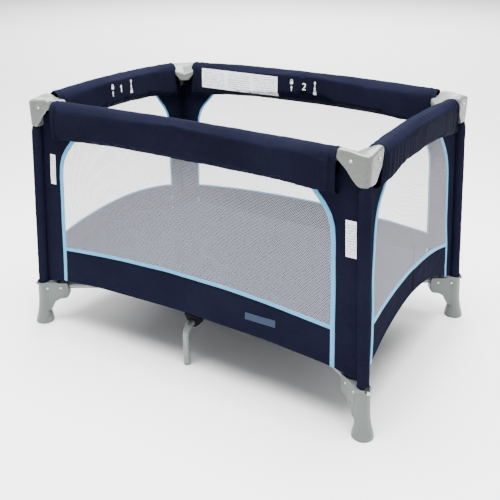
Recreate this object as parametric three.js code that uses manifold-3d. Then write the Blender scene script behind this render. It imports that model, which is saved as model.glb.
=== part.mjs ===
// Folding travel play yard: four leaning corner posts, four folding top rails, four floor tubes
// on a central hub, two centre legs, fabric side panels with the floor sheet and mattress.
// Millimetres, +Z up, +X along the long side, origin on the floor under the hub.
import * as THREE from "three";
import { mergeVertices } from "three/addons/utils/BufferGeometryUtils.js";
import Module from "manifold-3d";

const wasm = await Module();
wasm.setup();

// ---- driving dimensions -------------------------------------------------------------------------
const GAP = 0.3; // between touching pieces
const CORNER = { x: 518, y: 357, top: 728 }; // outer faces of the top castings
const POST_AT_700 = { x: 499.5, y: 339.5 }; // post axis 700 mm above the floor
const LEAN = { x: 0.0707, y: 0.0321 }; // outward travel of the post for each mm down
const TUBE = { r: 11, bore: 9.6, end: 5 }; // all straight tubes; end = stub past a pivot
const POST = { low: 72, high: 717 };
const PIN = { r: 3.5, hole: 3.8 };
const RAIL = { z: 692, longY: 332, shortX: 493 }; // rail axes
const RAIL_PIVOT = { x: 472, y: 306 }; // rail pivots in the top castings
const FLOOR_PIVOT = { z: 125, inset: 55 }; // floor tube pivots, inset from the post axis
const FOOT = { top: 138, armLength: 80, armWidth: 31 };
const SLEEVE = { r: 15, low: 139.5, high: 630 };
const LOBE = { length: 84, depth: 50, wall: 5, low: 632 };
const SWEEP = 13; // clear radius that a turning tube end needs
const KNUCKLE = { start: 64, end: 98, r: 14.5, cheekIn: 8.5, cheekOut: 12.5, tongue: 8.2, nose: 12 };
const BUTTON = { at: 38, r: 8.1, low: -19, high: -7 };
const PAD = { half: 27, low: 609, high: 720, bore: 15.5, boreLow: 671.5, boreHigh: 707.5 };
const PAD_END = { long: 431, short: 272 };
const CROWN = { top: 14, bottom: 8, spread: 150 }; // rise of the rail pads over the middle hinge
const PANEL = { inset: 10, half: 1.5, postGap: 12.5, low: 141, high: 630, underPad: 608.4 };
const HEM = {
  long: { cornerAt: 455, cornerZ: 160, middleZ: 181 },
  short: { cornerAt: 290, cornerZ: 163, middleZ: 234 },
};
const HUB = { r: 78, low: 108, high: 188.5, slot: 11.5, legSlot: 10.6 };
const LEG = { x: 11, hubY: 55, footY: 330, z: 122, r: 10, bore: 8.7, bend: 28 };
const BRACKET = { from: 262, to: 300, top: 145.5, shoulder: 141, halfTop: 27, halfLow: 13, low: 109 };
const STRAP = { halfX: 60, halfY: 12.5, low: 188.8, high: 190.1 };
const FLOOR = { x: 520, y: 340, low: 190.4, high: 192.4, corner: 24 };
const MATTRESS = { x: 473, y: 325, low: 192.8, high: 218, corner: 50 };

// Unit direction of a floor tube in the +X +Y corner, set so that it folds level with the rails.
const DIAGONAL = new THREE.Vector2(RAIL_PIVOT.x, RAIL_PIVOT.y).normalize();

const CORNERS = {
  fl: { sx: -1, sy: -1 },
  fr: { sx: 1, sy: -1 },
  br: { sx: 1, sy: 1 },
  bl: { sx: -1, sy: 1 },
};

const MATERIALS = {
  tube: new THREE.MeshStandardMaterial({ color: 0xa3acab, roughness: 0.4, metalness: 0.4 }),
  casting: new THREE.MeshStandardMaterial({ color: 0xb0b4ae, roughness: 0.5, metalness: 0 }),
  hub: new THREE.MeshStandardMaterial({ color: 0x8d9392, roughness: 0.55, metalness: 0 }),
  black: new THREE.MeshStandardMaterial({ color: 0x17181b, roughness: 0.6, metalness: 0 }),
  button: new THREE.MeshStandardMaterial({ color: 0xb9342e, roughness: 0.5, metalness: 0 }),
  rail: new THREE.MeshStandardMaterial({ color: 0x262a3c, roughness: 0.85, metalness: 0 }),
  panel: new THREE.MeshStandardMaterial({ color: 0x2b2f4a, roughness: 0.85, metalness: 0 }),
  mattress: new THREE.MeshStandardMaterial({ color: 0x232842, roughness: 0.9, metalness: 0 }),
};

// ---- geometry helpers ---------------------------------------------------------------------------
function merged(geometry) {
  const bare = geometry.clone();
  bare.deleteAttribute("normal");
  bare.deleteAttribute("uv");
  return mergeVertices(bare, 1e-4);
}

function solid(geometry) {
  const bare = merged(geometry);
  return new wasm.Manifold(
    new wasm.Mesh({
      numProp: 3,
      vertProperties: bare.attributes.position.array,
      triVerts: new Uint32Array(bare.index.array),
    }),
  );
}

function shapeOf(manifold) {
  const mesh = manifold.getMesh();
  const geometry = new THREE.BufferGeometry();
  geometry.setAttribute("position", new THREE.BufferAttribute(mesh.vertProperties, 3));
  geometry.setIndex(new THREE.BufferAttribute(mesh.triVerts, 1));
  geometry.computeVertexNormals();
  return geometry;
}

function joined(first, ...others) {
  return others.reduce((body, other) => body.add(solid(other)), solid(first));
}

function cut(body, ...tools) {
  return tools.reduce((left, tool) => left.subtract(solid(tool)), body);
}

// Copy of a +X +Y corner geometry for another corner, with its faces still pointing out.
function forCorner(geometry, { sx, sy }) {
  const copy = merged(geometry).scale(sx, sy, 1);
  if (sx * sy < 0) {
    const index = copy.index.array;
    for (let i = 0; i < index.length; i += 3) [index[i], index[i + 1]] = [index[i + 1], index[i]];
  }
  copy.computeVertexNormals();
  return copy;
}

function box(x0, x1, y0, y1, z0, z1) {
  return new THREE.BoxGeometry(x1 - x0, y1 - y0, z1 - z0).translate(
    (x0 + x1) / 2,
    (y0 + y1) / 2,
    (z0 + z1) / 2,
  );
}

// Straight bar of radius r from a to b.
function bar(a, b, r, sides = 12) {
  const along = b.clone().sub(a);
  const turn = new THREE.Quaternion().setFromUnitVectors(
    new THREE.Vector3(0, 1, 0),
    along.clone().normalize(),
  );
  const middle = a.clone().add(b).multiplyScalar(0.5);
  return new THREE.CylinderGeometry(r, r, along.length(), sides)
    .applyQuaternion(turn)
    .translate(middle.x, middle.y, middle.z);
}

// Open-ended round tube from a to b.
function pipe(a, b, r, bore, sides = 12) {
  const length = b.distanceTo(a);
  const profile = [
    [r, 0],
    [r, length],
    [bore, length],
    [bore, 0],
    [r, 0],
  ].map(([radius, height]) => new THREE.Vector2(radius, height));
  const turn = new THREE.Quaternion().setFromUnitVectors(
    new THREE.Vector3(0, 1, 0),
    b.clone().sub(a).normalize(),
  );
  return new THREE.LatheGeometry(profile, sides).applyQuaternion(turn).translate(a.x, a.y, a.z);
}

// An outline in (along, z), extruded sideways. `along` and `side` are horizontal unit vectors,
// and the extrusion runs from `from` to `to` measured along `side`.
function upright(outline, origin, along, side, from, to) {
  const geometry = new THREE.ExtrudeGeometry(outline, {
    depth: to - from,
    bevelEnabled: false,
    curveSegments: 4,
  });
  const up = new THREE.Vector3(0, 0, 1);
  if (new THREE.Vector3().crossVectors(along, up).dot(side) < 0) {
    return upright(outline, origin, along, side.clone().negate(), -to, -from);
  }
  return geometry
    .translate(0, 0, from)
    .applyMatrix4(new THREE.Matrix4().makeBasis(along, up, side))
    .translate(origin.x, origin.y, 0);
}

function flat(outline, low, high, curveSegments = 5) {
  const options = { depth: high - low, bevelEnabled: false, curveSegments };
  return new THREE.ExtrudeGeometry(outline, options).translate(0, 0, low);
}

function roundedRectangle(halfX, halfY, corner) {
  const outline = new THREE.Shape();
  outline.absarc(halfX - corner, halfY - corner, corner, 0, Math.PI / 2);
  outline.absarc(-halfX + corner, halfY - corner, corner, Math.PI / 2, Math.PI);
  outline.absarc(-halfX + corner, -halfY + corner, corner, Math.PI, 1.5 * Math.PI);
  outline.absarc(halfX - corner, -halfY + corner, corner, 1.5 * Math.PI, 2 * Math.PI);
  return outline;
}

function postAxis(z) {
  const down = 700 - z;
  return new THREE.Vector3(POST_AT_700.x + LEAN.x * down, POST_AT_700.y + LEAN.y * down, z);
}

const X = new THREE.Vector3(1, 0, 0);
const Y = new THREE.Vector3(0, 1, 0);
const INWARD = new THREE.Vector3(-DIAGONAL.x, -DIAGONAL.y, 0);
const ACROSS = new THREE.Vector3(-DIAGONAL.y, DIAGONAL.x, 0);

// ---- corner posts -------------------------------------------------------------------------------
function postTube() {
  return pipe(postAxis(POST.low), postAxis(POST.high), TUBE.r, TUBE.bore);
}

function cornerSleeve() {
  return pipe(postAxis(SLEEVE.low), postAxis(SLEEVE.high), SLEEVE.r, TUBE.r + GAP);
}

// One lobe of the top casting, in (distance in from the corner, z).
function lobeOutline() {
  const { length, low } = LOBE;
  const outline = new THREE.Shape();
  outline.moveTo(0, low);
  outline.lineTo(0, CORNER.top - 8);
  outline.quadraticCurveTo(0, CORNER.top, 10, CORNER.top);
  outline.lineTo(length - 20, CORNER.top - 2);
  outline.quadraticCurveTo(length, CORNER.top - 3, length, CORNER.top - 22);
  outline.quadraticCurveTo(length, CORNER.top - 34, length - 10, CORNER.top - 42);
  outline.lineTo(28, low + 12);
  outline.quadraticCurveTo(14, low, 0, low);
  return outline;
}

// Footprint that rounds the casting's outer edge.
function castingFootprint() {
  const round = 15;
  const outline = new THREE.Shape();
  const reach = LOBE.length + 1;
  outline.moveTo(CORNER.x - reach, CORNER.y);
  outline.lineTo(CORNER.x - reach, CORNER.y - LOBE.depth);
  outline.lineTo(CORNER.x - LOBE.depth, CORNER.y - LOBE.depth);
  outline.lineTo(CORNER.x - LOBE.depth, CORNER.y - reach);
  outline.lineTo(CORNER.x, CORNER.y - reach);
  outline.absarc(CORNER.x - round, CORNER.y - round, round, 0, Math.PI / 2);
  outline.closePath();
  return flat(outline, LOBE.low - 5, CORNER.top + 5, 4);
}

function topCasting() {
  const corner = { x: CORNER.x, y: CORNER.y };
  const west = X.clone().negate();
  const south = Y.clone().negate();
  const longLobe = upright(lobeOutline(), corner, west, south, 0, LOBE.depth);
  const shortLobe = upright(lobeOutline(), corner, south, west, 0, LOBE.depth);
  const body = joined(longLobe, shortLobe).intersect(solid(castingFootprint()));
  const ceiling = CORNER.top - LOBE.wall;
  const under = LOBE.low - 10;
  const innerX = CORNER.x - LOBE.depth + LOBE.wall;
  const innerY = CORNER.y - LOBE.depth + LOBE.wall;
  const longSlot = box(
    CORNER.x - LOBE.length - 10, RAIL_PIVOT.x + SWEEP,
    innerY, CORNER.y - LOBE.wall, under, ceiling,
  );
  const shortSlot = box(
    innerX, CORNER.x - LOBE.wall,
    CORNER.y - LOBE.length - 10, RAIL_PIVOT.y + SWEEP, under, ceiling,
  );
  const socket = bar(postAxis(under), postAxis(POST.high + GAP), TUBE.r + GAP);
  const hollow = cut(body, longSlot, shortSlot, socket);
  const fittings = [];
  const boss = 8;
  const seat = TUBE.r + GAP;
  for (const side of [-1, 1]) {
    const longWall = RAIL.longY + side * 21;
    fittings.push(
      bar(
        new THREE.Vector3(RAIL_PIVOT.x, RAIL.longY + side * seat, RAIL.z),
        new THREE.Vector3(RAIL_PIVOT.x, longWall, RAIL.z),
        boss,
        8,
      ),
    );
    const shortWall = RAIL.shortX + side * 21;
    fittings.push(
      bar(
        new THREE.Vector3(RAIL.shortX + side * seat, RAIL_PIVOT.y, RAIL.z),
        new THREE.Vector3(shortWall, RAIL_PIVOT.y, RAIL.z),
        boss,
        8,
      ),
    );
  }
  const reach = 21;
  fittings.push(
    bar(
      new THREE.Vector3(RAIL_PIVOT.x, RAIL.longY - reach, RAIL.z),
      new THREE.Vector3(RAIL_PIVOT.x, RAIL.longY + reach, RAIL.z),
      PIN.r,
      8,
    ),
    bar(
      new THREE.Vector3(RAIL.shortX - reach, RAIL_PIVOT.y, RAIL.z),
      new THREE.Vector3(RAIL.shortX + reach, RAIL_PIVOT.y, RAIL.z),
      PIN.r,
      8,
    ),
  );
  return shapeOf(fittings.reduce((whole, fitting) => whole.add(solid(fitting)), hollow));
}

// Side view of the foot casting's arm, in (distance in from the post axis, z).
function armOutline() {
  const { top, armLength } = FOOT;
  const outline = new THREE.Shape();
  outline.moveTo(0, top);
  outline.lineTo(armLength - 22, top - 1);
  outline.quadraticCurveTo(armLength, top - 2, armLength, top - 18);
  outline.lineTo(armLength, 94);
  outline.quadraticCurveTo(armLength, 87, armLength - 10, 85);
  outline.lineTo(50, 82);
  outline.quadraticCurveTo(26, 76, 20, 50);
  outline.lineTo(0, 50);
  return outline;
}

function footCasting() {
  const profile = [
    [0, 0],
    [27, 0],
    [28.5, 3],
    [27, 14],
    [22.5, 32],
    [19, 54],
    [18, 76],
    [18, FOOT.top],
    [0, FOOT.top],
  ].map(([radius, height]) => new THREE.Vector2(radius, height));
  const base = postAxis(0);
  const lean = new THREE.Matrix4().set(
    1, 0, -LEAN.x, base.x,
    0, 1, -LEAN.y, base.y,
    0, 0, 1, 0,
    0, 0, 0, 1,
  );
  const column = new THREE.LatheGeometry(profile, 16).rotateX(Math.PI / 2).applyMatrix4(lean);
  const axis = postAxis(FLOOR_PIVOT.z);
  const half = FOOT.armWidth / 2;
  const arm = upright(armOutline(), axis, INWARD, ACROSS, -half, half);
  const peg = bar(
    axis.clone().addScaledVector(INWARD, -12),
    axis.clone().addScaledVector(INWARD, -26),
    3.5,
    8,
  );
  const channel = new THREE.Shape();
  const floor = FLOOR_PIVOT.z - SWEEP + 0.5;
  channel.moveTo(FLOOR_PIVOT.inset - SWEEP, floor);
  channel.lineTo(FOOT.armLength + 10, floor);
  channel.lineTo(FOOT.armLength + 10, FOOT.top + 10);
  channel.lineTo(FLOOR_PIVOT.inset - SWEEP, FOOT.top + 10);
  const wide = TUBE.r + 0.5;
  const slot = upright(channel, axis, INWARD, ACROSS, -wide, wide);
  const socket = bar(postAxis(POST.low - GAP), postAxis(FOOT.top + 12), TUBE.r + GAP);
  const pivot = axis.clone().addScaledVector(INWARD, FLOOR_PIVOT.inset);
  const pin = bar(
    pivot.clone().addScaledVector(ACROSS, -half + 1),
    pivot.clone().addScaledVector(ACROSS, half - 1),
    PIN.r,
    8,
  );
  return shapeOf(cut(joined(column, arm, peg), slot, socket).add(solid(pin)));
}

// ---- floor tubes and hub ------------------------------------------------------------------------
function floorPivot() {
  return postAxis(FLOOR_PIVOT.z).addScaledVector(INWARD, FLOOR_PIVOT.inset);
}

function hubPivot() {
  const pivot = floorPivot();
  return pivot.set(pivot.x - RAIL_PIVOT.x, pivot.y - RAIL_PIVOT.y, pivot.z);
}

function pinHole(at, along) {
  const reach = TUBE.r + 4;
  return bar(
    at.clone().addScaledVector(along, -reach),
    at.clone().addScaledVector(along, reach),
    PIN.hole,
    8,
  );
}

function floorTube() {
  const outer = floorPivot();
  const inner = hubPivot();
  const tube = pipe(
    outer.clone().addScaledVector(INWARD, -TUBE.end),
    inner.clone().addScaledVector(INWARD, TUBE.end),
    TUBE.r,
    TUBE.bore,
  );
  return shapeOf(cut(solid(tube), pinHole(outer, ACROSS), pinHole(inner, ACROSS)));
}

function hub() {
  const { r, low, high } = HUB;
  const profile = [
    [0, low],
    [r - 4, low],
    [r, low + 6],
    [r, high - 44],
    [r - 8, high - 24],
    [r - 20, high - 4],
    [r - 30, high],
    [0, high],
  ].map(([radius, height]) => new THREE.Vector2(radius, height));
  let body = solid(new THREE.LatheGeometry(profile, 24).rotateX(Math.PI / 2));
  const pins = [];
  const ceiling = FLOOR_PIVOT.z + SWEEP - 0.4;
  for (const corner of Object.values(CORNERS)) {
    const slot = new THREE.Shape();
    slot.moveTo(-100, low - 5);
    slot.lineTo(SWEEP, low - 5);
    slot.lineTo(SWEEP, ceiling);
    slot.lineTo(-100, ceiling);
    const opening = upright(slot, hubPivot(), INWARD, ACROSS, -HUB.slot, HUB.slot);
    body = body.subtract(solid(forCorner(opening, corner)));
    const pin = bar(
      hubPivot().addScaledVector(ACROSS, -HUB.slot - 1),
      hubPivot().addScaledVector(ACROSS, HUB.slot + 1),
      PIN.r,
      8,
    );
    pins.push(forCorner(pin, corner));
  }
  for (const side of [-1, 1]) {
    const x = side * LEG.x;
    const near = LEG.hubY - SWEEP + 1;
    const [y0, y1] = side < 0 ? [-120, -near] : [near, 120];
    const slot = box(x - HUB.legSlot, x + HUB.legSlot, y0, y1, low - 5, LEG.z + SWEEP - 1);
    body = body.subtract(solid(slot));
    pins.push(
      bar(
        new THREE.Vector3(x - HUB.legSlot - 1, side * LEG.hubY, LEG.z),
        new THREE.Vector3(x + HUB.legSlot + 1, side * LEG.hubY, LEG.z),
        PIN.r,
        8,
      ),
    );
  }
  return shapeOf(pins.reduce((whole, pin) => whole.add(solid(pin)), body));
}

// ---- centre legs --------------------------------------------------------------------------------
// Back leg: runs out from the hub along +Y, bends down and stands on the floor.
function legRun(r, overrun) {
  const { x, hubY, footY, z, bend } = LEG;
  const straight = bar(
    new THREE.Vector3(x, hubY - TUBE.end - overrun, z),
    new THREE.Vector3(x, footY - bend + 1, z),
    r,
    12,
  );
  const upright = bar(
    new THREE.Vector3(x, footY, -overrun),
    new THREE.Vector3(x, footY, z - bend + 1),
    r,
    12,
  );
  const curve = new THREE.QuadraticBezierCurve3(
    new THREE.Vector3(x, footY - bend, z),
    new THREE.Vector3(x, footY - 0.2 * bend, z - 0.2 * bend),
    new THREE.Vector3(x, footY, z - bend),
  );
  const elbow = new THREE.ExtrudeGeometry(new THREE.Shape().absarc(0, 0, r, 0, 2 * Math.PI), {
    extrudePath: curve,
    steps: 4,
    curveSegments: 6,
    bevelEnabled: false,
  });
  return joined(straight, elbow, upright);
}

function centreLeg() {
  const at = new THREE.Vector3(LEG.x, LEG.hubY, LEG.z);
  return shapeOf(legRun(LEG.r, 0).subtract(legRun(LEG.bore, 4)).subtract(solid(pinHole(at, X))));
}

function legBracket() {
  const { from, to, top, shoulder, halfTop, halfLow, low } = BRACKET;
  const outline = new THREE.Shape();
  outline.moveTo(LEG.x - halfTop, top);
  outline.lineTo(LEG.x - halfTop, shoulder);
  outline.lineTo(LEG.x - halfLow, LEG.z - 4);
  outline.lineTo(LEG.x - halfLow + 4, low);
  outline.lineTo(LEG.x + halfLow - 4, low);
  outline.lineTo(LEG.x + halfLow, LEG.z - 4);
  outline.lineTo(LEG.x + halfTop, shoulder);
  outline.lineTo(LEG.x + halfTop, top);
  const block = upright(outline, { x: 0, y: 0 }, X, Y, from, to);
  const bore = bar(
    new THREE.Vector3(LEG.x, from - 5, LEG.z),
    new THREE.Vector3(LEG.x, to + 5, LEG.z),
    LEG.r + GAP,
    12,
  );
  return shapeOf(cut(solid(block), bore));
}

// Half turn about Z, from the back leg to the front leg.
function turned(geometry) {
  const copy = merged(geometry).rotateZ(Math.PI);
  copy.computeVertexNormals();
  return copy;
}

// ---- top rails ----------------------------------------------------------------------------------
// A half rail is drawn along +X with the middle hinge at the origin and its axis on z = 0,
// then turned and moved to its side. Sizes are along the rail.
function railTube(pivotAt) {
  const tube = pipe(
    new THREE.Vector3(KNUCKLE.start + 3, 0, 0),
    new THREE.Vector3(pivotAt + TUBE.end, 0, 0),
    TUBE.r,
    TUBE.bore,
  );
  return shapeOf(cut(solid(tube), pinHole(new THREE.Vector3(pivotAt, 0, 0), Y)));
}

// Arm from the socket to the middle pin, in (along, z): round at the pin, deeper at the socket.
function knuckleArm() {
  const { start, nose } = KNUCKLE;
  const outline = new THREE.Shape();
  outline.moveTo(start + 1, 13);
  outline.lineTo(20, nose);
  outline.absarc(0, 0, nose, Math.PI / 2, 1.5 * Math.PI);
  outline.lineTo(20, -nose);
  outline.lineTo(start + 1, -13);
  return outline;
}

function knuckleSocket() {
  const { start, end, r } = KNUCKLE;
  const outer = bar(new THREE.Vector3(start, 0, 0), new THREE.Vector3(end, 0, 0), r, 16);
  const bore = bar(
    new THREE.Vector3(start + 3 - GAP, 0, 0),
    new THREE.Vector3(end + 5, 0, 0),
    TUBE.r + GAP,
    14,
  );
  return cut(solid(outer), bore);
}

function forkKnuckle() {
  const { cheekIn, cheekOut } = KNUCKLE;
  const here = { x: 0, y: 0 };
  const pin = bar(new THREE.Vector3(0, -cheekOut, 0), new THREE.Vector3(0, cheekOut, 0), PIN.r, 8);
  return shapeOf(
    knuckleSocket()
      .add(solid(upright(knuckleArm(), here, X, Y, cheekIn, cheekOut)))
      .add(solid(upright(knuckleArm(), here, X, Y, -cheekOut, -cheekIn)))
      .add(solid(pin)),
  );
}

function tongueKnuckle() {
  const { tongue } = KNUCKLE;
  const plate = upright(knuckleArm(), { x: 0, y: 0 }, X, Y, -tongue, tongue);
  const hole = pinHole(new THREE.Vector3(0, 0, 0), Y);
  return shapeOf(knuckleSocket().add(solid(plate)).subtract(solid(hole)));
}

function latchButton() {
  const { at, r, low, high } = BUTTON;
  return bar(new THREE.Vector3(at, 0, low), new THREE.Vector3(at, 0, high), r, 14);
}

// Padded cover of a half rail, with the tunnel that the tube and knuckle lie in.
function railPad(end) {
  const outline = new THREE.Shape();
  const low = PAD.low - RAIL.z;
  const high = PAD.high - RAIL.z;
  const { half } = PAD;
  outline.moveTo(-half + 8, low);
  outline.lineTo(half - 8, low);
  outline.quadraticCurveTo(half, low, half, low + 14);
  outline.lineTo(half, high - 24);
  outline.quadraticCurveTo(half - 2, high, 0, high);
  outline.quadraticCurveTo(-half + 2, high, -half, high - 24);
  outline.lineTo(-half, low + 14);
  outline.quadraticCurveTo(-half, low, -half + 8, low);
  const tunnel = new THREE.Path();
  tunnel.moveTo(-PAD.bore, PAD.boreLow - RAIL.z);
  tunnel.lineTo(PAD.bore, PAD.boreLow - RAIL.z);
  tunnel.lineTo(PAD.bore, PAD.boreHigh - RAIL.z);
  tunnel.lineTo(-PAD.bore, PAD.boreHigh - RAIL.z);
  outline.holes.push(tunnel);
  const start = 0.5;
  const pad = new THREE.ExtrudeGeometry(outline, {
    depth: end - start,
    bevelEnabled: false,
    curveSegments: 3,
    steps: 5,
  });
  pad.translate(0, 0, start);
  pad.applyMatrix4(new THREE.Matrix4().makeBasis(Y, new THREE.Vector3(0, 0, 1), X));
  crown(pad);
  return merged(pad);
}

// Raises the cover over the middle hinge and eases it down towards the corner.
function crown(geometry) {
  const place = geometry.attributes.position;
  for (let i = 0; i < place.count; i += 1) {
    const rise = Math.exp(-((place.getX(i) / CROWN.spread) ** 2));
    const z = place.getZ(i);
    if (z > PAD.boreHigh - RAIL.z + 1) place.setZ(i, z + CROWN.top * rise);
    if (z < PAD.boreLow - RAIL.z - 1) place.setZ(i, z + CROWN.bottom * rise);
  }
}

// ---- side panels, floor and mattress ------------------------------------------------------------
// Outline of a side panel in (along, z), leaning out with the posts on both ends.
function panelOutline(postAt700, lean, padEnd, hem) {
  const edge = (z) => postAt700 + lean * (700 - z) - PANEL.postGap;
  const shoulder = padEnd + 3;
  const right = [
    [edge(PANEL.high), PANEL.high],
    [shoulder, PANEL.high],
    [shoulder, PANEL.underPad],
  ];
  const outline = new THREE.Shape();
  outline.moveTo(edge(PANEL.low), PANEL.low);
  for (const [along, z] of right) outline.lineTo(along, z);
  for (const [along, z] of right.reverse()) outline.lineTo(-along, z);
  outline.lineTo(-edge(PANEL.low), PANEL.low);
  outline.lineTo(-hem.cornerAt, hem.cornerZ);
  const pull = 0.45 * hem.cornerAt;
  outline.bezierCurveTo(
    -hem.cornerAt + pull * 0.5, hem.cornerZ + 8,
    -pull, hem.middleZ,
    0, hem.middleZ,
  );
  outline.bezierCurveTo(
    pull, hem.middleZ,
    hem.cornerAt - pull * 0.5, hem.cornerZ + 8,
    hem.cornerAt, hem.cornerZ,
  );
  return outline;
}

// Back panel (facing +Y) or right panel (facing +X): sheared outwards with the lean of the posts.
function sidePanel(isLong) {
  const outline = isLong
    ? panelOutline(POST_AT_700.x, LEAN.x, PAD_END.long, HEM.long)
    : panelOutline(POST_AT_700.y, LEAN.y, PAD_END.short, HEM.short);
  const along = isLong ? X : Y;
  const out = isLong ? Y : X;
  const sheet = upright(outline, { x: 0, y: 0 }, along, out, -PANEL.half, PANEL.half);
  const at = (isLong ? POST_AT_700.y : POST_AT_700.x) - PANEL.inset;
  const lean = isLong ? LEAN.y : LEAN.x;
  const place = sheet.attributes.position;
  for (let i = 0; i < place.count; i += 1) {
    const offset = at + lean * (700 - place.getZ(i));
    if (isLong) place.setY(i, place.getY(i) + offset);
    else place.setX(i, place.getX(i) + offset);
  }
  return merged(sheet);
}

// ---- assembly -----------------------------------------------------------------------------------
const playYard = new THREE.Group();

function add(parent, name, geometry, material) {
  const mesh = new THREE.Mesh(geometry, MATERIALS[material]);
  mesh.name = name;
  parent.add(mesh);
}

const cornerPieces = {
  post_tube: [postTube(), "tube"],
  top_casting: [topCasting(), "casting"],
  foot_casting: [footCasting(), "casting"],
  corner_sleeve: [cornerSleeve(), "panel"],
  floor_tube: [floorTube(), "tube"],
};
for (const [piece, [geometry, material]] of Object.entries(cornerPieces)) {
  for (const [name, corner] of Object.entries(CORNERS)) {
    add(playYard, `${piece}_${name}`, forCorner(geometry, corner), material);
  }
}

add(playYard, "hub", hub(), "hub");
add(playYard, "pull_strap", flat(roundedRectangle(STRAP.halfX, STRAP.halfY, 6), STRAP.low, STRAP.high), "black");
add(playYard, "centre_leg_back", centreLeg(), "tube");
add(playYard, "centre_leg_front", turned(centreLeg()), "tube");
add(playYard, "leg_bracket_back", legBracket(), "black");
add(playYard, "leg_bracket_front", turned(legBracket()), "black");

// Each rail is a group at its middle hinge; the fork half is the one the corner post carries first,
// going round the yard from the front left corner.
const RAILS = {
  front: { turn: 0, x: 0, y: -RAIL.longY, isLong: true, fork: "left", tongue: "right" },
  right: { turn: 1, x: RAIL.shortX, y: 0, isLong: false, fork: "front", tongue: "back" },
  back: { turn: 2, x: 0, y: RAIL.longY, isLong: true, fork: "right", tongue: "left" },
  left: { turn: 3, x: -RAIL.shortX, y: 0, isLong: false, fork: "back", tongue: "front" },
};
for (const [rail, { turn, x, y, isLong, fork, tongue }] of Object.entries(RAILS)) {
  const pivotAt = isLong ? RAIL_PIVOT.x : RAIL_PIVOT.y;
  const padEnd = isLong ? PAD_END.long : PAD_END.short;
  for (const half of [fork, tongue]) {
    const group = new THREE.Group();
    const isFork = half === fork;
    group.position.set(x, y, RAIL.z);
    group.rotation.z = (turn * Math.PI) / 2 + (isFork ? Math.PI : 0);
    const knuckle = isFork ? forkKnuckle() : tongueKnuckle();
    add(group, `${rail}_rail_tube_${half}`, railTube(pivotAt), "tube");
    add(group, `${rail}_rail_knuckle_${half}`, knuckle, "casting");
    add(group, `${rail}_rail_pad_${half}`, railPad(padEnd), "rail");
    if (isFork) add(group, `${rail}_latch_button`, latchButton(), "button");
    playYard.add(group);
  }
}

const panels = { back: [true, 1, 1], front: [true, 1, -1], right: [false, 1, 1], left: [false, -1, 1] };
for (const [side, [isLong, sx, sy]] of Object.entries(panels)) {
  add(playYard, `${side}_panel`, forCorner(sidePanel(isLong), { sx, sy }), "panel");
}

const floorOutline = roundedRectangle(FLOOR.x, FLOOR.y, FLOOR.corner);
add(playYard, "floor_sheet", flat(floorOutline, FLOOR.low, FLOOR.high), "panel");
const mattressOutline = roundedRectangle(MATTRESS.x, MATTRESS.y, MATTRESS.corner);
add(playYard, "mattress", flat(mattressOutline, MATTRESS.low, MATTRESS.high), "mattress");

export default playYard;
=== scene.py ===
"""Travel play yard: the detailed visual model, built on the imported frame.

All shapes are worked out in millimetres, in the frame of the CAD, and stored in metres.
"""

from math import cos, hypot, pi, radians, sin

import bmesh
import bpy
import numpy as np
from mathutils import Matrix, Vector


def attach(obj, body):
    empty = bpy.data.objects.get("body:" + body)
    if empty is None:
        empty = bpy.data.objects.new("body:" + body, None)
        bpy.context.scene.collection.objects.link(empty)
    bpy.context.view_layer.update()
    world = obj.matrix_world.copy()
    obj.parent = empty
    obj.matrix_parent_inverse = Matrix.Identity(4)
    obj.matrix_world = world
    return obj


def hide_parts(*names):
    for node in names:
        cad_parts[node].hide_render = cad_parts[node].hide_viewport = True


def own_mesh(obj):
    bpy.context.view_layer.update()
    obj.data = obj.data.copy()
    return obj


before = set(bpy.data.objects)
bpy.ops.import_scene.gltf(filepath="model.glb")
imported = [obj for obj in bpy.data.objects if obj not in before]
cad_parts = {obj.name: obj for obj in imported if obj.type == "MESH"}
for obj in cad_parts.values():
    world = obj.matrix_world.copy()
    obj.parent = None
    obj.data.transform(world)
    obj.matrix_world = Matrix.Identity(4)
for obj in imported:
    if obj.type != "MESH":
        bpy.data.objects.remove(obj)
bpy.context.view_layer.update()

# ---- frame dimensions, in mm ----
POST_Z, POST = 700, (499.5, 339.5)  # a height, and the axis of the +X +Y post there
LEAN = (0.0707, 0.0321)  # how far that axis goes out for each mm down
SOCKET, POST_FOOT_Z = 11.4, 72  # radius of the bores for the posts, and where a post ends
RAIL_Z, LONG_Y, SHORT_X = 692.0, 332.0, 493.0  # axes of the rail tubes
SHOULDER = {True: 434, False: 275}  # where the castings begin, on long and on short sides
TUBE_Z, LEG_X, LEG_Z = 125, 11, 122  # axes of the floor tubes and of the back leg
PIVOT = (472.0, 306.0)  # where the rails turn, and how far a floor tube reaches
REACH = hypot(*PIVOT)
U = (PIVOT[0] / REACH, PIVOT[1] / REACH)  # the way from the hub to the +X +Y corner
ARM = 55  # from a post's axis to its floor tube's pin
CORNERS = {"fl": (-1, -1), "fr": (1, -1), "br": (1, 1), "bl": (-1, 1)}
# side: (outward direction, the two halves with their sign along the side and their corner post)
SIDES = {
    "front": ((0, -1), {"left": (-1, "fl"), "right": (1, "fr")}),
    "back": ((0, 1), {"left": (-1, "bl"), "right": (1, "br")}),
    "right": ((1, 0), {"front": (-1, "fr"), "back": (1, "br")}),
    "left": ((-1, 0), {"front": (-1, "fl"), "back": (1, "bl")}),
}


def is_long(side):
    return side in ("front", "back")


def post_xy(z):
    """Where the axis of the +X +Y post is at height z."""
    return POST[0] + LEAN[0] * (POST_Z - z), POST[1] + LEAN[1] * (POST_Z - z)


def post_axis(z):
    return np.array([*post_xy(z), z])


FOOT_PIVOT = tuple(p - ARM * u for p, u in zip(post_xy(TUBE_Z), U))
HUB_PIVOT = (FOOT_PIVOT[0] - PIVOT[0], FOOT_PIVOT[1] - PIVOT[1])


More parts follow.
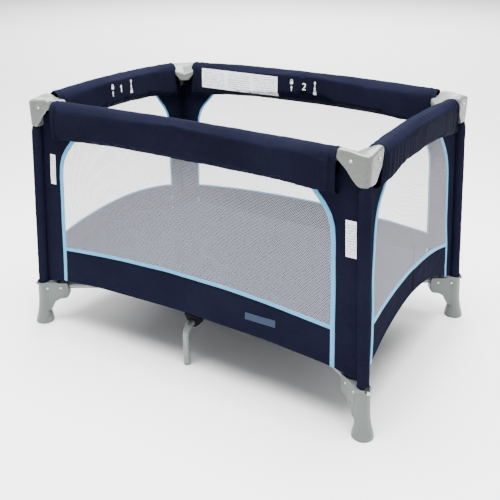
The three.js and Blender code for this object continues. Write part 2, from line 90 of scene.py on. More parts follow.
# ---- mesh helpers ----
def piece(name, verts, faces, material, body, slot, uv=None, solidify=0.0):
    """A mesh object from vertices in mm. uv, if given, is one pair for each vertex."""
    mesh = bpy.data.meshes.new(name)
    metres = np.asarray(verts, float) / 1000
    mesh.from_pydata(metres.tolist(), [], [list(map(int, f)) for f in faces])
    if uv is not None:
        layer = mesh.uv_layers.new(name="UVMap")
        loops = np.empty(len(mesh.loops), np.int32)
        mesh.loops.foreach_get("vertex_index", loops)
        layer.data.foreach_set("uv", np.asarray(uv, np.float32)[loops].ravel())
    made = bmesh.new()
    made.from_mesh(mesh)
    bmesh.ops.recalc_face_normals(made, faces=made.faces)
    if solidify:
        bmesh.ops.solidify(made, geom=made.faces[:], thickness=solidify / 1000)
        bmesh.ops.recalc_face_normals(made, faces=made.faces)
    made.to_mesh(mesh)
    made.free()
    mesh.polygons.foreach_set("use_smooth", [True] * len(mesh.polygons))
    mesh.set_sharp_from_angle(angle=radians(52))
    mesh.materials.append(material)
    obj = bpy.data.objects.new(name, mesh)
    bpy.context.scene.collection.objects.link(obj)
    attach(obj, body)
    return obj


def grid_faces(rows, columns, close_rows=False, close_columns=False, start=0):
    """Quads of a rows by columns grid of vertices, row by row."""
    faces = []
    for i in range(rows if close_rows else rows - 1):
        for j in range(columns if close_columns else columns - 1):
            a = start + i * columns + j
            b = start + i * columns + (j + 1) % columns
            c = start + (i + 1) % rows * columns + (j + 1) % columns
            d = start + (i + 1) % rows * columns + j
            faces.append((a, b, c, d))
    return faces


def tube_faces(rows, around):
    """Faces of a row of rings, with both ends closed."""
    faces = grid_faces(rows, around, close_columns=True)
    return faces + [tuple(range(around)), tuple(range((rows - 1) * around, rows * around))]


def pillow_faces(rows, columns):
    """Faces of two grids, one under the other, closed round their edge."""
    count = rows * columns
    faces = grid_faces(rows, columns) + [f[::-1] for f in grid_faces(rows, columns, start=count)]
    edge = list(range(columns)) + [i * columns + columns - 1 for i in range(1, rows)]
    edge += [(rows - 1) * columns + j for j in range(columns - 2, -1, -1)]
    edge += [i * columns for i in range(rows - 2, 0, -1)]
    return faces + [(a, count + a, count + b, b) for a, b in zip(edge, edge[1:] + edge[:1])]


def shares(rows, columns):
    """Shares from 0 to 1 down the rows and across the columns of a grid."""
    return np.linspace(0, 1, rows)[:, None], np.linspace(0, 1, columns)[None, :]


def circle(side, other, count):
    """Points round a unit circle between two directions."""
    angle = np.linspace(0, 2 * pi, count, endpoint=False)
    return np.outer(np.cos(angle), side) + np.outer(np.sin(angle), other)


def directions(path):
    """Unit vectors along a path."""
    ahead = np.gradient(path, axis=0)
    return ahead / np.linalg.norm(ahead, axis=1)[:, None]


def left_of(path):
    """Unit vectors to the left of a path in the plane."""
    return directions(path)[:, ::-1] * (-1, 1)


def bell(x, width):
    """A smooth bump of height 1 where x is 0."""
    return np.exp(-((x / width) ** 2))


def climb(x, start, length):
    """From 0 at start to 1 at start + length, and level on both sides."""
    return np.clip((x - start) / length, 0, 1)


def lathe(profile, origin, axis, sides):
    """Vertices and faces of a profile of (radius, height) turned about axis."""
    axis = Vector(axis).normalized()
    side = axis.orthogonal().normalized()
    ring = circle(side, axis.cross(side), sides)
    verts = np.concatenate([np.array(origin) + r * ring + h * np.array(axis) for r, h in profile])
    return verts, grid_faces(len(profile), sides, close_columns=True)


def joined(*parts):
    """Several (vertices, faces) as one."""
    verts, faces, start = [], [], 0
    for part_verts, part_faces in parts:
        verts.append(np.asarray(part_verts, float))
        faces += [tuple(start + i for i in face) for face in part_faces]
        start += len(part_verts)
    return np.concatenate(verts), faces


def tube(path, radius, sides):
    """A round bar along a path, with closed ends. radius is one number or one for each point."""
    path = np.asarray(path, float)
    ahead = directions(path)
    side = np.cross(ahead[0], (0.3, 0.5, 0.8))
    rows = []
    for p, t, r in zip(path, ahead, np.broadcast_to(radius, len(path))):
        side = side - t * side.dot(t)
        side /= np.linalg.norm(side)
        rows.append(p + r * circle(side, np.cross(t, side), sides))
    return np.concatenate(rows), tube_faces(len(path), sides)


def round_bar(a, b, radius):
    """A straight bar from a to b with rounded ends."""
    a, b = np.asarray(a, float), np.asarray(b, float)
    length = np.linalg.norm(b - a)
    arc = [(radius - 1 + sin(t), 1 - cos(t)) for t in np.linspace(0, pi / 2, 4)]
    profile = [(0.01, 0)] + arc + [(r, length - h) for r, h in reversed(arc)] + [(0.01, length)]
    return lathe(profile, a, b - a, 28)


def waves(x, y, seed, octaves, size, stretch=1.0):
    """Smooth repeatable noise from -1 to 1 over x and y in mm. size is its longest wave."""
    rng = np.random.default_rng(seed)
    total, weight = np.zeros(np.broadcast(x, y).shape), 0.0
    for octave in range(octaves):
        for _ in range(5):
            turn, phase = rng.uniform(0, 2 * pi, 2)
            wave = 2 * pi / (size / 1.9**octave) * rng.uniform(0.75, 1.3)
            share = 0.6**octave
            way = x * cos(turn) + y * sin(turn) / stretch
            total = total + share * np.sin(wave * way + phase)
            weight += share
    return total / weight * 2


def refined(grid, wrap=False):
    """A grid of points (rows, columns, 3) with a new one between each two, on smooth curves."""
    for axis in (0, 1):
        g = np.moveaxis(grid, axis, 0)
        if axis == 1 and wrap:
            middle = (9 * (g + np.roll(g, -1, 0)) - np.roll(g, 1, 0) - np.roll(g, -2, 0)) / 16
            full = np.empty((2 * len(g), *g.shape[1:]))
        else:
            ends = np.concatenate([2 * g[:1] - g[1:2], g, 2 * g[-1:] - g[-2:-1]])
            middle = (9 * (ends[1:-2] + ends[2:-1]) - ends[:-3] - ends[3:]) / 16
            full = np.empty((2 * len(g) - 1, *g.shape[1:]))
        full[0::2], full[1::2] = g, middle
        grid = np.moveaxis(full, 0, axis)
    return grid


def puffed(verts, faces, pinned, most, growth=0.0):
    """The vertices of a closed cloth shape after it is filled, each moved by at most so far."""
    verts = np.asarray(verts, float)
    mesh = bpy.data.meshes.new("soft_trial")
    mesh.from_pydata((verts / 1000).tolist(), [], [tuple(map(int, f)) for f in faces])
    obj = bpy.data.objects.new("soft_trial", mesh)
    scene = bpy.context.scene
    scene.collection.objects.link(obj)
    made = bmesh.new()
    made.from_mesh(mesh)
    bmesh.ops.recalc_face_normals(made, faces=made.faces)
    made.to_mesh(mesh)
    made.free()
    obj.vertex_groups.new(name="held").add([int(i) for i in pinned], 1.0, "REPLACE")
    modifier = obj.modifiers.new("cloth", "CLOTH")
    rules = modifier.settings
    rules.quality = 5
    rules.mass = 0.2
    rules.use_pressure = True
    rules.uniform_pressure_force = 4.0
    rules.shrink_min = -growth
    rules.vertex_group_mass = "held"
    rules.effector_weights.gravity = 0
    modifier.collision_settings.use_collision = False
    modifier.point_cache.frame_start = 1
    last_frame = 20
    modifier.point_cache.frame_end = last_frame
    for frame_number in range(1, last_frame + 1):
        scene.frame_set(frame_number)
    shown = obj.evaluated_get(bpy.context.evaluated_depsgraph_get())
    after = np.empty(len(verts) * 3)
    shown.to_mesh().vertices.foreach_get("co", after)
    move = after.reshape(-1, 3) * 1000 - verts
    shown.to_mesh_clear()
    bpy.data.objects.remove(obj)
    bpy.data.meshes.remove(mesh)
    scene.frame_set(1)
    length = np.linalg.norm(move, axis=1)[:, None]
    return verts + move * np.minimum(1, most / np.maximum(length, 1e-6))


# ---- solid modelling with distance fields ----
def smooth_min(a, b, k):
    h = np.clip(0.5 + 0.5 * (b - a) / k, 0, 1)
    return b + (a - b) * h - k * h * (1 - h)


def smooth_max(a, b, k):
    return -smooth_min(-a, -b, k)


def polygon(x, y, points):
    """Signed distance to a polygon in the plane."""
    points = np.asarray(points, float)
    best = np.full(np.shape(x), 1e9)
    sign = np.ones(np.shape(x))
    for (ax, ay), (bx, by) in zip(points, np.roll(points, -1, axis=0)):
        ex, ey = bx - ax, by - ay
        wx, wy = x - ax, y - ay
        t = np.clip((wx * ex + wy * ey) / (ex * ex + ey * ey), 0, 1)
        best = np.minimum(best, (wx - t * ex) ** 2 + (wy - t * ey) ** 2)
        above, below = y >= ay, y < by
        left = ex * wy > ey * wx
        flip = (above & below & left) | (~above & ~below & ~left)
        sign = np.where(flip, -sign, sign)
    return sign * np.sqrt(best)


def prism(flat, across, radius):
    """A flat shape's distance and a distance across it, joined with a rounded edge."""
    a, b = flat + radius, across + radius
    return np.minimum(np.maximum(a, b), 0) + np.hypot(np.maximum(a, 0), np.maximum(b, 0)) - radius


def capsule(x, y, z, a, b, radius):
    """Distance to a bar from a to b with round ends."""
    a, b = np.array(a, float), np.array(b, float)
    d = b - a
    x, y, z = x - a[0], y - a[1], z - a[2]
    t = np.clip((x * d[0] + y * d[1] + z * d[2]) / d.dot(d), 0, 1)
    return np.sqrt((x - t * d[0]) ** 2 + (y - t * d[1]) ** 2 + (z - t * d[2]) ** 2) - radius


def solid_from(field, low, high, step):
    """Vertices and faces of the surface where field is zero, by surface nets."""
    axes = [np.arange(a, b + step, step) for a, b in zip(low, high)]
    d = field(*np.meshgrid(*axes, indexing="ij"))
    inside = d < 0
    size = np.array(d.shape) - 1
    total, count = np.zeros((*size, 3)), np.zeros(size)
    for axis in range(3):
        first, second = [k for k in range(3) if k != axis]
        for a in (0, 1):
            for b in (0, 1):
                near = [slice(0, -1)] * 3
                near[first] = slice(a, size[first] + a)
                near[second] = slice(b, size[second] + b)
                far = list(near)
                far[axis] = slice(1, None)
                d0, d1 = d[tuple(near)], d[tuple(far)]
                cross = inside[tuple(near)] != inside[tuple(far)]
                total[..., axis] += np.where(cross, d0 / np.where(cross, d0 - d1, 1), 0)
                total[..., first] += cross * a
                total[..., second] += cross * b
                count += cross
    mixed = count > 0
    index = np.full(size, -1)
    index[mixed] = np.arange(mixed.sum())
    cells = np.argwhere(mixed)
    verts = np.array(low) + step * (cells + total[mixed] / count[mixed][:, None])
    faces = []
    for axis in range(3):
        first, second = [(1, 2), (2, 0), (0, 1)][axis]
        near, far = [slice(None)] * 3, [slice(None)] * 3
        near[axis], far[axis] = slice(0, -1), slice(1, None)
        cross = inside[tuple(near)] != inside[tuple(far)]
        places = np.argwhere(cross)
        ok = (places[:, first] > 0) & (places[:, second] > 0)
        ok &= (places[:, first] < size[first]) & (places[:, second] < size[second])
        places = places[ok]
        corners = []
        for a, b in ((-1, -1), (0, -1), (0, 0), (-1, 0)):
            cell = places.copy()
            cell[:, first] += a
            cell[:, second] += b
            corners.append(index[tuple(cell.T)])
        quads = np.stack(corners, axis=1)
        solid = inside[tuple(near)][tuple(places.T)]
        faces.append(np.where(solid[:, None], quads, quads[:, ::-1]))
    for _ in range(3):
        value, slope = field(*verts.T), []
        for k in range(3):
            shift = np.zeros(3)
            shift[k] = 0.05
            slope.append((field(*(verts + shift).T) - field(*(verts - shift).T)) / 0.1)
        slope = np.stack(slope, axis=1)
        push = value[:, None] * slope / np.maximum((slope**2).sum(axis=1), 0.3)[:, None]
        verts = verts - np.clip(push, -0.6 * step, 0.6 * step)
    return verts, np.concatenate(faces)


# ---- materials ----
class Paint:
    """A node material, with short calls for its nodes."""

    def __init__(self, name, roughness=0.5, **sockets):
        self.material = bpy.data.materials.new(name)
        self.material.use_nodes = True
        self.tree = self.material.node_tree
        self.shader = self.tree.nodes["Principled BSDF"]
        self.set("Roughness", roughness)
        for socket, value in sockets.items():
            self.set(socket.replace("_", " "), value)
        self.where = self.node("ShaderNodeTexCoord").outputs["Object"]

    def set(self, socket, value):
        if isinstance(value, bpy.types.NodeSocket):
            self.tree.links.new(value, self.shader.inputs[socket])
        else:
            self.shader.inputs[socket].default_value = value

    def node(self, kind, *inputs, out=0, **settings):
        made = self.tree.nodes.new(kind)
        for key, value in settings.items():
            setattr(made, key, value)
        for i, value in enumerate(inputs):
            if isinstance(value, bpy.types.NodeSocket):
                self.tree.links.new(value, made.inputs[i])
            elif value is not None:
                made.inputs[i].default_value = value
        return made if kind == "ShaderNodeTexCoord" else made.outputs[out]

    def math(self, operation, a, b=None):
        return self.node("ShaderNodeMath", a, b, operation=operation)

    def noise(self, scale, detail=3.0, where=None, roughness=0.5):
        inputs = (where or self.where, None, scale, detail, roughness)
        return self.node("ShaderNodeTexNoise", *inputs, noise_dimensions="3D")

    def vector(self, operation, *inputs, out=0):
        return self.node("ShaderNodeVectorMath", *inputs, operation=operation, out=out)

    def split(self, vector):
        """The sockets of a vector's x, y and z."""
        made = self.tree.nodes.new("ShaderNodeSeparateXYZ")
        self.tree.links.new(vector, made.inputs[0])
        return made.outputs

    def ramp(self, value, low, high, dark, light):
        return self.node("ShaderNodeMapRange", value, low, high, dark, light)

    def mix(self, factor, a, b):
        made = self.tree.nodes.new("ShaderNodeMix")
        made.data_type = "RGBA"
        for socket, value in (("Factor", factor), ("A", a), ("B", b)):
            kinds = ("VALUE",) if socket == "Factor" else ("RGBA",)
            target = [s for s in made.inputs if s.name == socket and s.type in kinds][0]
            if isinstance(value, bpy.types.NodeSocket):
                self.tree.links.new(value, target)
            else:
                target.default_value = value if socket == "Factor" else (*value, 1)
        return [s for s in made.outputs if s.type == "RGBA"][0]

    def bump(self, height, distance, strength, under=None):
        made = self.tree.nodes.new("ShaderNodeBump")
        made.inputs["Strength"].default_value = strength
        made.inputs["Distance"].default_value = distance
        self.tree.links.new(height, made.inputs["Height"])
        if under is not None:
            self.tree.links.new(under, made.inputs["Normal"])
        return made.outputs["Normal"]


def tones(paint, factor, colour, change, brighter=None):
    """A mix from a darker to a lighter shade of one colour."""
    shades = [(*(min(1, c * by) for c in colour),) for by in (1 - change, 1 + (brighter or change))]
    return paint.mix(factor, *shades)


def cloth(
    name, colour, roughness=0.6, weave=900.0, sheen=0.25, soft=0.9, contrast=0.22, gloss=0.3
):
    """Woven cloth: fine crossed threads, slubs and slow changes of tone."""
    paint = Paint(
        name, roughness, Sheen_Weight=sheen, Sheen_Roughness=0.4, Specular_IOR_Level=gloss
    )
    x, y, z = paint.split(paint.where)
    across = paint.math("ADD", x, y)
    warp, weft = (paint.math("SINE", paint.math("MULTIPLY", v, weave * 2)) for v in (across, z))
    threads = paint.math("MULTIPLY", warp, weft)
    slub = paint.noise(650.0, 2.0, paint.vector("MULTIPLY", paint.where, (1, 1, 0.25)))
    slow = paint.noise(7.0, 3.0)
    tone = paint.math("ADD", *(paint.math("MULTIPLY", part, 0.5) for part in (slub, slow)))
    paint.set("Base Color", tones(paint, paint.ramp(tone, 0.35, 0.65, 0, 1), colour, contrast))
    rumple = paint.noise(38.0, 4.0, paint.vector("MULTIPLY", paint.where, (1, 1, 0.55)), 0.55)
    normal = paint.bump(rumple, 0.004 * soft, 0.5)
    paint.set("Normal", paint.bump(paint.math("ADD", threads, slub), 0.0002, 0.6, normal))
    return paint.material


def plastic(name, colour, roughness, gloss=0.5):
    """Moulded plastic: fine spark texture, faint flow marks and a little wear."""
    paint = Paint(name, roughness, Specular_IOR_Level=gloss)
    slow = paint.noise(9.0, 4.0)
    fine = paint.noise(1500.0, 2.0)
    tone = paint.ramp(slow, 0.35, 0.68, 0, 1)
    paint.set("Base Color", tones(paint, tone, colour, 0.06, 0.05))
    wear = paint.ramp(paint.noise(24.0, 5.0), 0.3, 0.7, roughness - 0.06, roughness + 0.1)
    paint.set("Roughness", wear)
    paint.set("Normal", paint.bump(fine, 0.00012, 0.5, paint.bump(slow, 0.0006, 0.25)))
    return paint.material


def paint_coat(name, colour, roughness, metallic):
    """Powder coated steel tube."""
    paint = Paint(name, roughness, Metallic=metallic, Coat_Weight=0.15, Coat_Roughness=0.2)
    slow, fine = paint.noise(12.0, 4.0), paint.noise(900.0, 2.0)
    tone = paint.ramp(slow, 0.35, 0.65, 0, 1)
    paint.set("Base Color", tones(paint, tone, colour, 0.07, 0.05))
    wear = paint.ramp(paint.noise(60.0, 4.0), 0.3, 0.7, roughness - 0.05, roughness + 0.08)
    paint.set("Roughness", wear)
    paint.set("Normal", paint.bump(fine, 0.00015, 0.35))
    return paint.material


def net(name, colour, pitch, open_share):
    """Open knitted net, from UVs in metres: round holes on a triangular lattice."""
    paint = Paint(name, 0.6, Sheen_Weight=0.3, Specular_IOR_Level=0.3)
    uv = paint.tree.nodes["Texture Coordinate"].outputs["UV"]
    # a cell of pitch by pitch * sqrt 3 has two holes, at its corners and at its middle
    hole = pitch * (open_share / 3.6276) ** 0.5
    rows = []
    for offset in (0.0, 0.5):
        per_cell = (1000 / pitch, 1000 / pitch / 3**0.5, 0)
        place = paint.vector("MULTIPLY_ADD", uv, per_cell, (offset, offset, 0))
        centred = paint.vector("SUBTRACT", paint.vector("FRACTION", place), (0.5, 0.5, 0))
        real = paint.vector("MULTIPLY", centred, (pitch, pitch * 3**0.5, 0))
        rows.append(paint.vector("LENGTH", real, out="Value"))
    nearest = paint.math("MINIMUM", rows[0], rows[1])
    thread = paint.ramp(nearest, hole - 0.12, hole + 0.12, 0, 1)
    paint.set("Alpha", thread)
    knit = paint.noise(700.0, 2.0)
    paint.set("Base Color", tones(paint, knit, colour, 0.1, 0.05))
    paint.set("Normal", paint.bump(nearest, 0.0004, 0.5))
    return paint.material


def ruled(name, colour, ink, columns, lines):
    """A printed label, with only faint rules where its print would be. UVs run 0 to 1."""
    paint = Paint(name, 0.45, Sheen_Weight=0.2)
    across, along, _ = paint.split(paint.tree.nodes["Texture Coordinate"].outputs["UV"])
    line = paint.math("FRACT", paint.math("MULTIPLY", along, float(lines)))
    column = paint.math("FRACT", paint.math("MULTIPLY", across, float(columns)))
    mask = paint.math("LESS_THAN", line, 0.42)
    for value, inset in ((column, 0.07), (along, 0.08)):
        mask = paint.math("MULTIPLY", mask, paint.math("GREATER_THAN", value, inset))
        mask = paint.math("MULTIPLY", mask, paint.math("LESS_THAN", value, 1 - inset))
    ragged = paint.math("GREATER_THAN", paint.noise(160.0, 2.0), 0.46)
    paint.set("Base Color", paint.mix(paint.math("MULTIPLY", mask, ragged), colour, ink))
    paint.set("Normal", paint.bump(paint.noise(1400.0, 2.0), 0.0001, 0.4))
    return paint.material


NAVY = cloth("navy_cloth", (0.0072, 0.0078, 0.0178), 0.5, sheen=0.0, soft=0.3, gloss=0.0015)
NAVY_RAIL = cloth(
    "navy_rail_cloth", (0.0066, 0.0072, 0.0158), 0.42, sheen=0.0, soft=0.4, gloss=0.002
)
NAVY_MAT = cloth(
    "navy_mattress_cloth", (0.008, 0.009, 0.019), 0.7, sheen=0.0, soft=0.25, gloss=0.0015
)
PIPING = cloth("navy_piping_cloth", (0.0052, 0.0058, 0.012), 0.5, sheen=0.0, gloss=0.003)
BINDING = cloth(
    "light_blue_binding_cloth", (0.085, 0.32, 0.54), 0.55, 1200, sheen=0.03, soft=0.3, contrast=0.06
)
NET = net("white_net", (0.43, 0.44, 0.5), pitch=4.2, open_share=0.65)
CASTING = plastic("grey_casting_plastic", (0.115, 0.124, 0.115), 0.27)
FOOT = plastic("grey_foot_plastic", (0.09, 0.106, 0.099), 0.32)
INNER = plastic("inner_grey_plastic", (0.11, 0.118, 0.118), 0.5)
BLACK = plastic("black_plastic_part", (0.004, 0.004, 0.0045), 0.5, gloss=0.05)
RED = plastic("red_plastic_part", (0.5, 0.03, 0.02), 0.35)
TUBE = paint_coat("grey_coated_tube", (0.15, 0.172, 0.168), 0.28, 0.2)
STEEL = paint_coat("zinc_rivet", (0.6, 0.61, 0.6), 0.3, 0.9)
WEBBING = cloth("black_webbing_cloth", (0.009, 0.009, 0.01), 0.7, weave=500)
LABEL = ruled("care_label_cloth", (0.83, 0.85, 0.88), (0.35, 0.37, 0.42), 1, 14)
WIDE_LABEL = ruled("wide_label_cloth", (0.9, 0.92, 0.94), (0.4, 0.42, 0.46), 3, 9)
PRINT = cloth("white_print_cloth", (0.75, 0.76, 0.79), 0.6, sheen=0.1, contrast=0.05)
PATCH = cloth("slate_patch_cloth", (0.03, 0.045, 0.078), 0.6, soft=0.3, contrast=0.1, gloss=0.02)

for node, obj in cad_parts.items():
    if "tube" in node or "centre_leg" in node:
        finish = TUBE
    elif "knuckle" in node or node == "hub":
        finish = INNER
    elif "button" in node:
        finish = RED
    elif "bracket" in node:
        finish = BLACK
    elif node == "pull_strap":
        finish = WEBBING
    else:
        finish = NAVY
    obj.data.materials.clear()
    obj.data.materials.append(finish)


# ---- corner castings and feet ----
def box_field(x, y, z, low, high, radius):
    """Distance to a box with rounded edges."""
    d = [np.abs(v - (a + b) / 2) - (b - a) / 2 + radius for v, a, b in zip((x, y, z), low, high)]
    outside = np.sqrt(sum(np.maximum(v, 0) ** 2 for v in d))
    return outside + np.minimum(np.maximum(np.maximum(d[0], d[1]), d[2]), 0) - radius


def casting_field(x, y, z):
    """The +X +Y top casting: a rounded shield on each outer face, with an apron across the inner
    corner, a top that falls inwards with a valley over the post, and slots for the two rails."""
    r = 12
    start, top_z = SHOULDER[True] + r, 719 - r
    long_lobe = [(518 - r, top_z), (start, top_z), (start - 1, 697), (499, 632 + r)]
    long_lobe = polygon(x, z, long_lobe + [(518 - r, 632 + r)]) - r
    start = SHOULDER[False] + r
    short_lobe = [(357 - r, top_z), (start, top_z), (start - 1, 697), (291, 672), (317, 631 + r)]
    short_lobe = polygon(y, z, short_lobe + [(357 - r, 631 + r)]) - r
    a = prism(long_lobe, np.abs(y - LONG_Y) - 25, 11)
    b = prism(short_lobe, np.abs(x - SHORT_X) - 25, 11)
    body = smooth_min(a, b, 8)
    edge = np.hypot(np.maximum(x - 500, 0), np.maximum(y - 339, 0)) - 18
    body = smooth_max(body, edge, 2)
    body = smooth_max(body, long_lobe, 5)
    body = smooth_max(body, short_lobe, 5)
    inward, across = (x + y - 775) / 2**0.5, (x - y - 161) / 2**0.5
    apron = [(-22, 709), (22, 709), (21, 688), (10, 674), (-10, 674), (-21, 688)]
    apron = prism(polygon(across, z, apron) - 10, np.abs(inward + 16) - 20, 4)
    body = smooth_min(body, apron, 3)
    top = 718 - 0.5 * np.minimum(np.maximum(344 - y, 0), np.maximum(505 - x, 0))
    body = smooth_max(body, 0.9 * (z - top), 5)
    valley = capsule(x, y, z, (393, 232, 777), (593, 432, 769), 64)
    body = smooth_max(body, -valley, 8)
    # each slot is open below and round over the rail tube
    for low, high, across, along in (
        ((400, 311.5, 560), (485, 352.5, RAIL_Z), y - LONG_Y, np.abs(x - 442) - 43),
        ((472.5, 240, 560), (513.5, 319, RAIL_Z), x - SHORT_X, np.abs(y - 279) - 40),
    ):
        round_top = np.maximum(np.hypot(across, z - RAIL_Z) - 13.5, along)
        slot = np.minimum(box_field(x, y, z, low, high, 3), round_top)
        body = smooth_max(body, -slot, 1.5)
    cx, cy = post_xy(z)
    socket = np.maximum(np.hypot(x - cx, y - cy) - SOCKET, z - POST_Z)
    return smooth_max(body, -socket, 1)


def foot_field(x, y, z):
    """The +X +Y foot: a flared column under the post, with an arm that carries the floor tube."""
    cx, cy = post_xy(z)
    from_axis = np.hypot(x - cx, y - cy)
    heights = [0, 3, 14, 32, 54, 76, 100, 131, 134, 138]
    radii = [27.5, 28.5, 26.6, 22.4, 19.2, 18, 18, 18.3, 19.6, 19.6]
    column = (from_axis - np.interp(z, heights, radii)) * 0.97
    column = prism(column, np.abs(z - 69) - 69, 1.5)
    # s runs from the post towards the hub, w across it
    bx, by = post_xy(TUBE_Z)
    s = -(x - bx) * U[0] - (y - by) * U[1]
    w = -(x - bx) * U[1] + (y - by) * U[0]
    arm = [(0, 133), (60, 132), (74, 128), (74, 98), (68, 90), (48, 87), (30, 77), (16, 50), (0, 50)]
    arm = prism(polygon(s, z, arm) - 5, np.abs(w) - 15.5, 2.5)
    body = smooth_min(column, arm, 7)
    ridge = polygon(s, z, [(2, 133), (76, 132), (77, 137.5), (2, 138)]) - 0.5
    body = smooth_min(body, prism(ridge, np.abs(w) - 16.6, 1.2), 1.5)
    channel = polygon(s, z, [(43, 113), (110, 113), (110, 160), (43, 160)])
    body = smooth_max(body, -prism(channel, np.abs(w) - 11.6, 1), 1.2)
    return smooth_max(body, -np.maximum(from_axis - SOCKET, POST_FOOT_Z - z), 1)


def hub_field(x, y, z):
    """The hub: a domed disc with slots for four floor tubes and two legs."""
    rho = np.hypot(x, y)
    outline = [(-40, 111), (71, 111), (75, 115), (75, 142), (67, 162), (55, 181.5), (45, 185.5)]
    body = polygon(rho, z, outline + [(-40, 185.5)]) - 3
    for sx, sy in CORNERS.values():
        s = (x - sx * HUB_PIVOT[0]) * sx * U[0] + (y - sy * HUB_PIVOT[1]) * sy * U[1]
        w = -(x - sx * HUB_PIVOT[0]) * sy * U[1] + (y - sy * HUB_PIVOT[1]) * sx * U[0]
        body = smooth_max(body, -box_field(s, w, z, (-13, -11.6, 60), (140, 11.6, 137.6), 1), 1)
    for side in (-1, 1):
        slot = box_field(side * x, side * y, z, (0.4, 43, 60), (21.6, 160, 134), 1)
        body = smooth_max(body, -slot, 1)
    groove = np.maximum(np.abs(rho - 63) - 2.5, np.abs(z - 108) - 2)
    return smooth_max(body, -groove, 1)


def bracket_field(x, y, z):
    """The back leg bracket: a flared clip round the leg."""
    x = x - LEG_X
    right = [(9, 111), (13, 120), (25, 141), (25, 143.5)]
    body = prism(polygon(x, z, [(-a, b) for a, b in right[::-1]] + right) - 2, np.abs(y - 281) - 19, 2)
    body = smooth_max(body, -(np.hypot(x, z - LEG_Z) - 10.3), 1)
    for side in (-1, 1):
        window = box_field(side * x, y, z, (13.5, 266, 139), (23, 296, 160), 2)
        body = smooth_max(body, -window, 1)
    return body


def mirrored(shape, sx, sy):
    """A shape of the +X +Y corner, moved to the corner of these signs."""
    verts, faces = shape
    if sx * sy < 0:
        faces = [tuple(f)[::-1] for f in faces]
    return np.asarray(verts, float) * (sx, sy, 1), faces


def rivet(origin, axis, radius, height):
    """A domed rivet head with its rolled rim."""
    profile = [(radius, 0), (radius, 0.5), (radius * 0.95, 1.0), (radius * 0.8, 1.3)]
    for t in np.linspace(0.1, 1.5, 5):
        profile.append((radius * 0.72 * cos(t), 1.2 + (height - 1.2) * sin(t)))
    return lathe(profile + [(0.01, height)], origin, axis, 20)


def rolled_rivet(origin, axis):
    """The rolled end of a hollow rivet."""
    profile = [(3.8, 0), (3.7, 0.7), (3.3, 1.3), (2.7, 1.5), (2.1, 1.3), (1.5, 0.6), (1.2, 0.1)]
    return lathe(profile + [(0.01, 0.1)], origin, axis, 24)


step = 1.5
casting = solid_from(casting_field, (412, 250, 622), (522, 361, 735), step)
foot = solid_from(foot_field, (452, 296, -3), (582, 396, 143), step)
hub_shape = solid_from(hub_field, (-82, -82, 104), (82, 82, 192), step * 1.2)
bracket = solid_from(bracket_field, (-20, 258, 104), (42, 304, 150), step)
for corner, (sx, sy) in CORNERS.items():
    body = f"post_{corner}"
    made = piece(f"casting_{corner}", *mirrored(casting, sx, sy), CASTING, body, "grey_casting")
    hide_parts(f"top_casting_{corner}")
    made = piece(f"foot_{corner}", *mirrored(foot, sx, sy), FOOT, body, "grey_casting")
    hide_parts(f"foot_casting_{corner}")
    heads = [
        rolled_rivet((PIVOT[0], 356.8, RAIL_Z), (0, 1, 0)),
        rolled_rivet((517.8, PIVOT[1], RAIL_Z), (1, 0, 0)),
    ]
    piece(f"casting_rivets_{corner}", *mirrored(joined(*heads), sx, sy), STEEL, body, "dark_rivet")
    base, out, across = post_axis(121), np.array([*U, 0]), np.array([-U[1], U[0], 0])
    heads = []
    for s, reach in ((14, 18.4), (55, 16.2)):
        spot = base - out * s
        for side in (-1, 1):
            heads.append(rivet(spot + across * side * (reach - 0.6), across * side, 3.6, 2.0))
    piece(f"foot_rivets_{corner}", *mirrored(joined(*heads), sx, sy), STEEL, body, "dark_rivet")
    spot = post_axis(133) + out * 17
    peg = joined(round_bar(spot, spot + out * 7, 2.6), rivet(spot + out * 6, out, 4.6, 2.4))
    piece(f"loop_peg_{corner}", *mirrored(peg, sx, sy), STEEL, body, "dark_rivet")
    loop = [
        spot + out * (1.25 - 2.25 * cos(t)) + across * 5.5 * sin(t) + (0, 0, 4 + 7.5 * cos(t))
        for t in np.linspace(0, 2 * pi, 29)
    ]
    piece(f"elastic_loop_{corner}", *mirrored(tube(loop, 1.7, 10), sx, sy), WEBBING, body, "black_webbing")

hub = piece("hub_disc", *hub_shape, INNER, "hub", "grey_inner_plastic")
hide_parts("hub")
pin_shapes = []
for sx, sy in CORNERS.values():
    across = np.array([-sy * U[1], sx * U[0], 0])
    spot = np.array([sx * HUB_PIVOT[0], sy * HUB_PIVOT[1], TUBE_Z])
    pin_shapes.append(round_bar(spot - across * 12.5, spot + across * 12.5, 3.5))
for side in (-1, 1):
    ends = [(side * LEG_X + reach, side * 55, LEG_Z) for reach in (-11.5, 11.5)]
    pin_shapes.append(round_bar(*ends, 3.5))
piece("hub_pins", *joined(*pin_shapes), STEEL, "hub", "dark_rivet")


# ---- tubes and legs ----
def hollow(a, b):
    """A frame tube from a to b, 22 across with a bore of 19.2."""
    sides, length = 32, float(np.linalg.norm(b - a))
    profile = [(9.6, 0.4), (10, 0), (10.4, 0), (11, 0.6)]
    profile += [(r, length - h) for r, h in reversed(profile)]
    verts, _ = lathe(profile, a, b - a, sides)
    return verts, grid_faces(len(profile), sides, close_rows=True, close_columns=True)


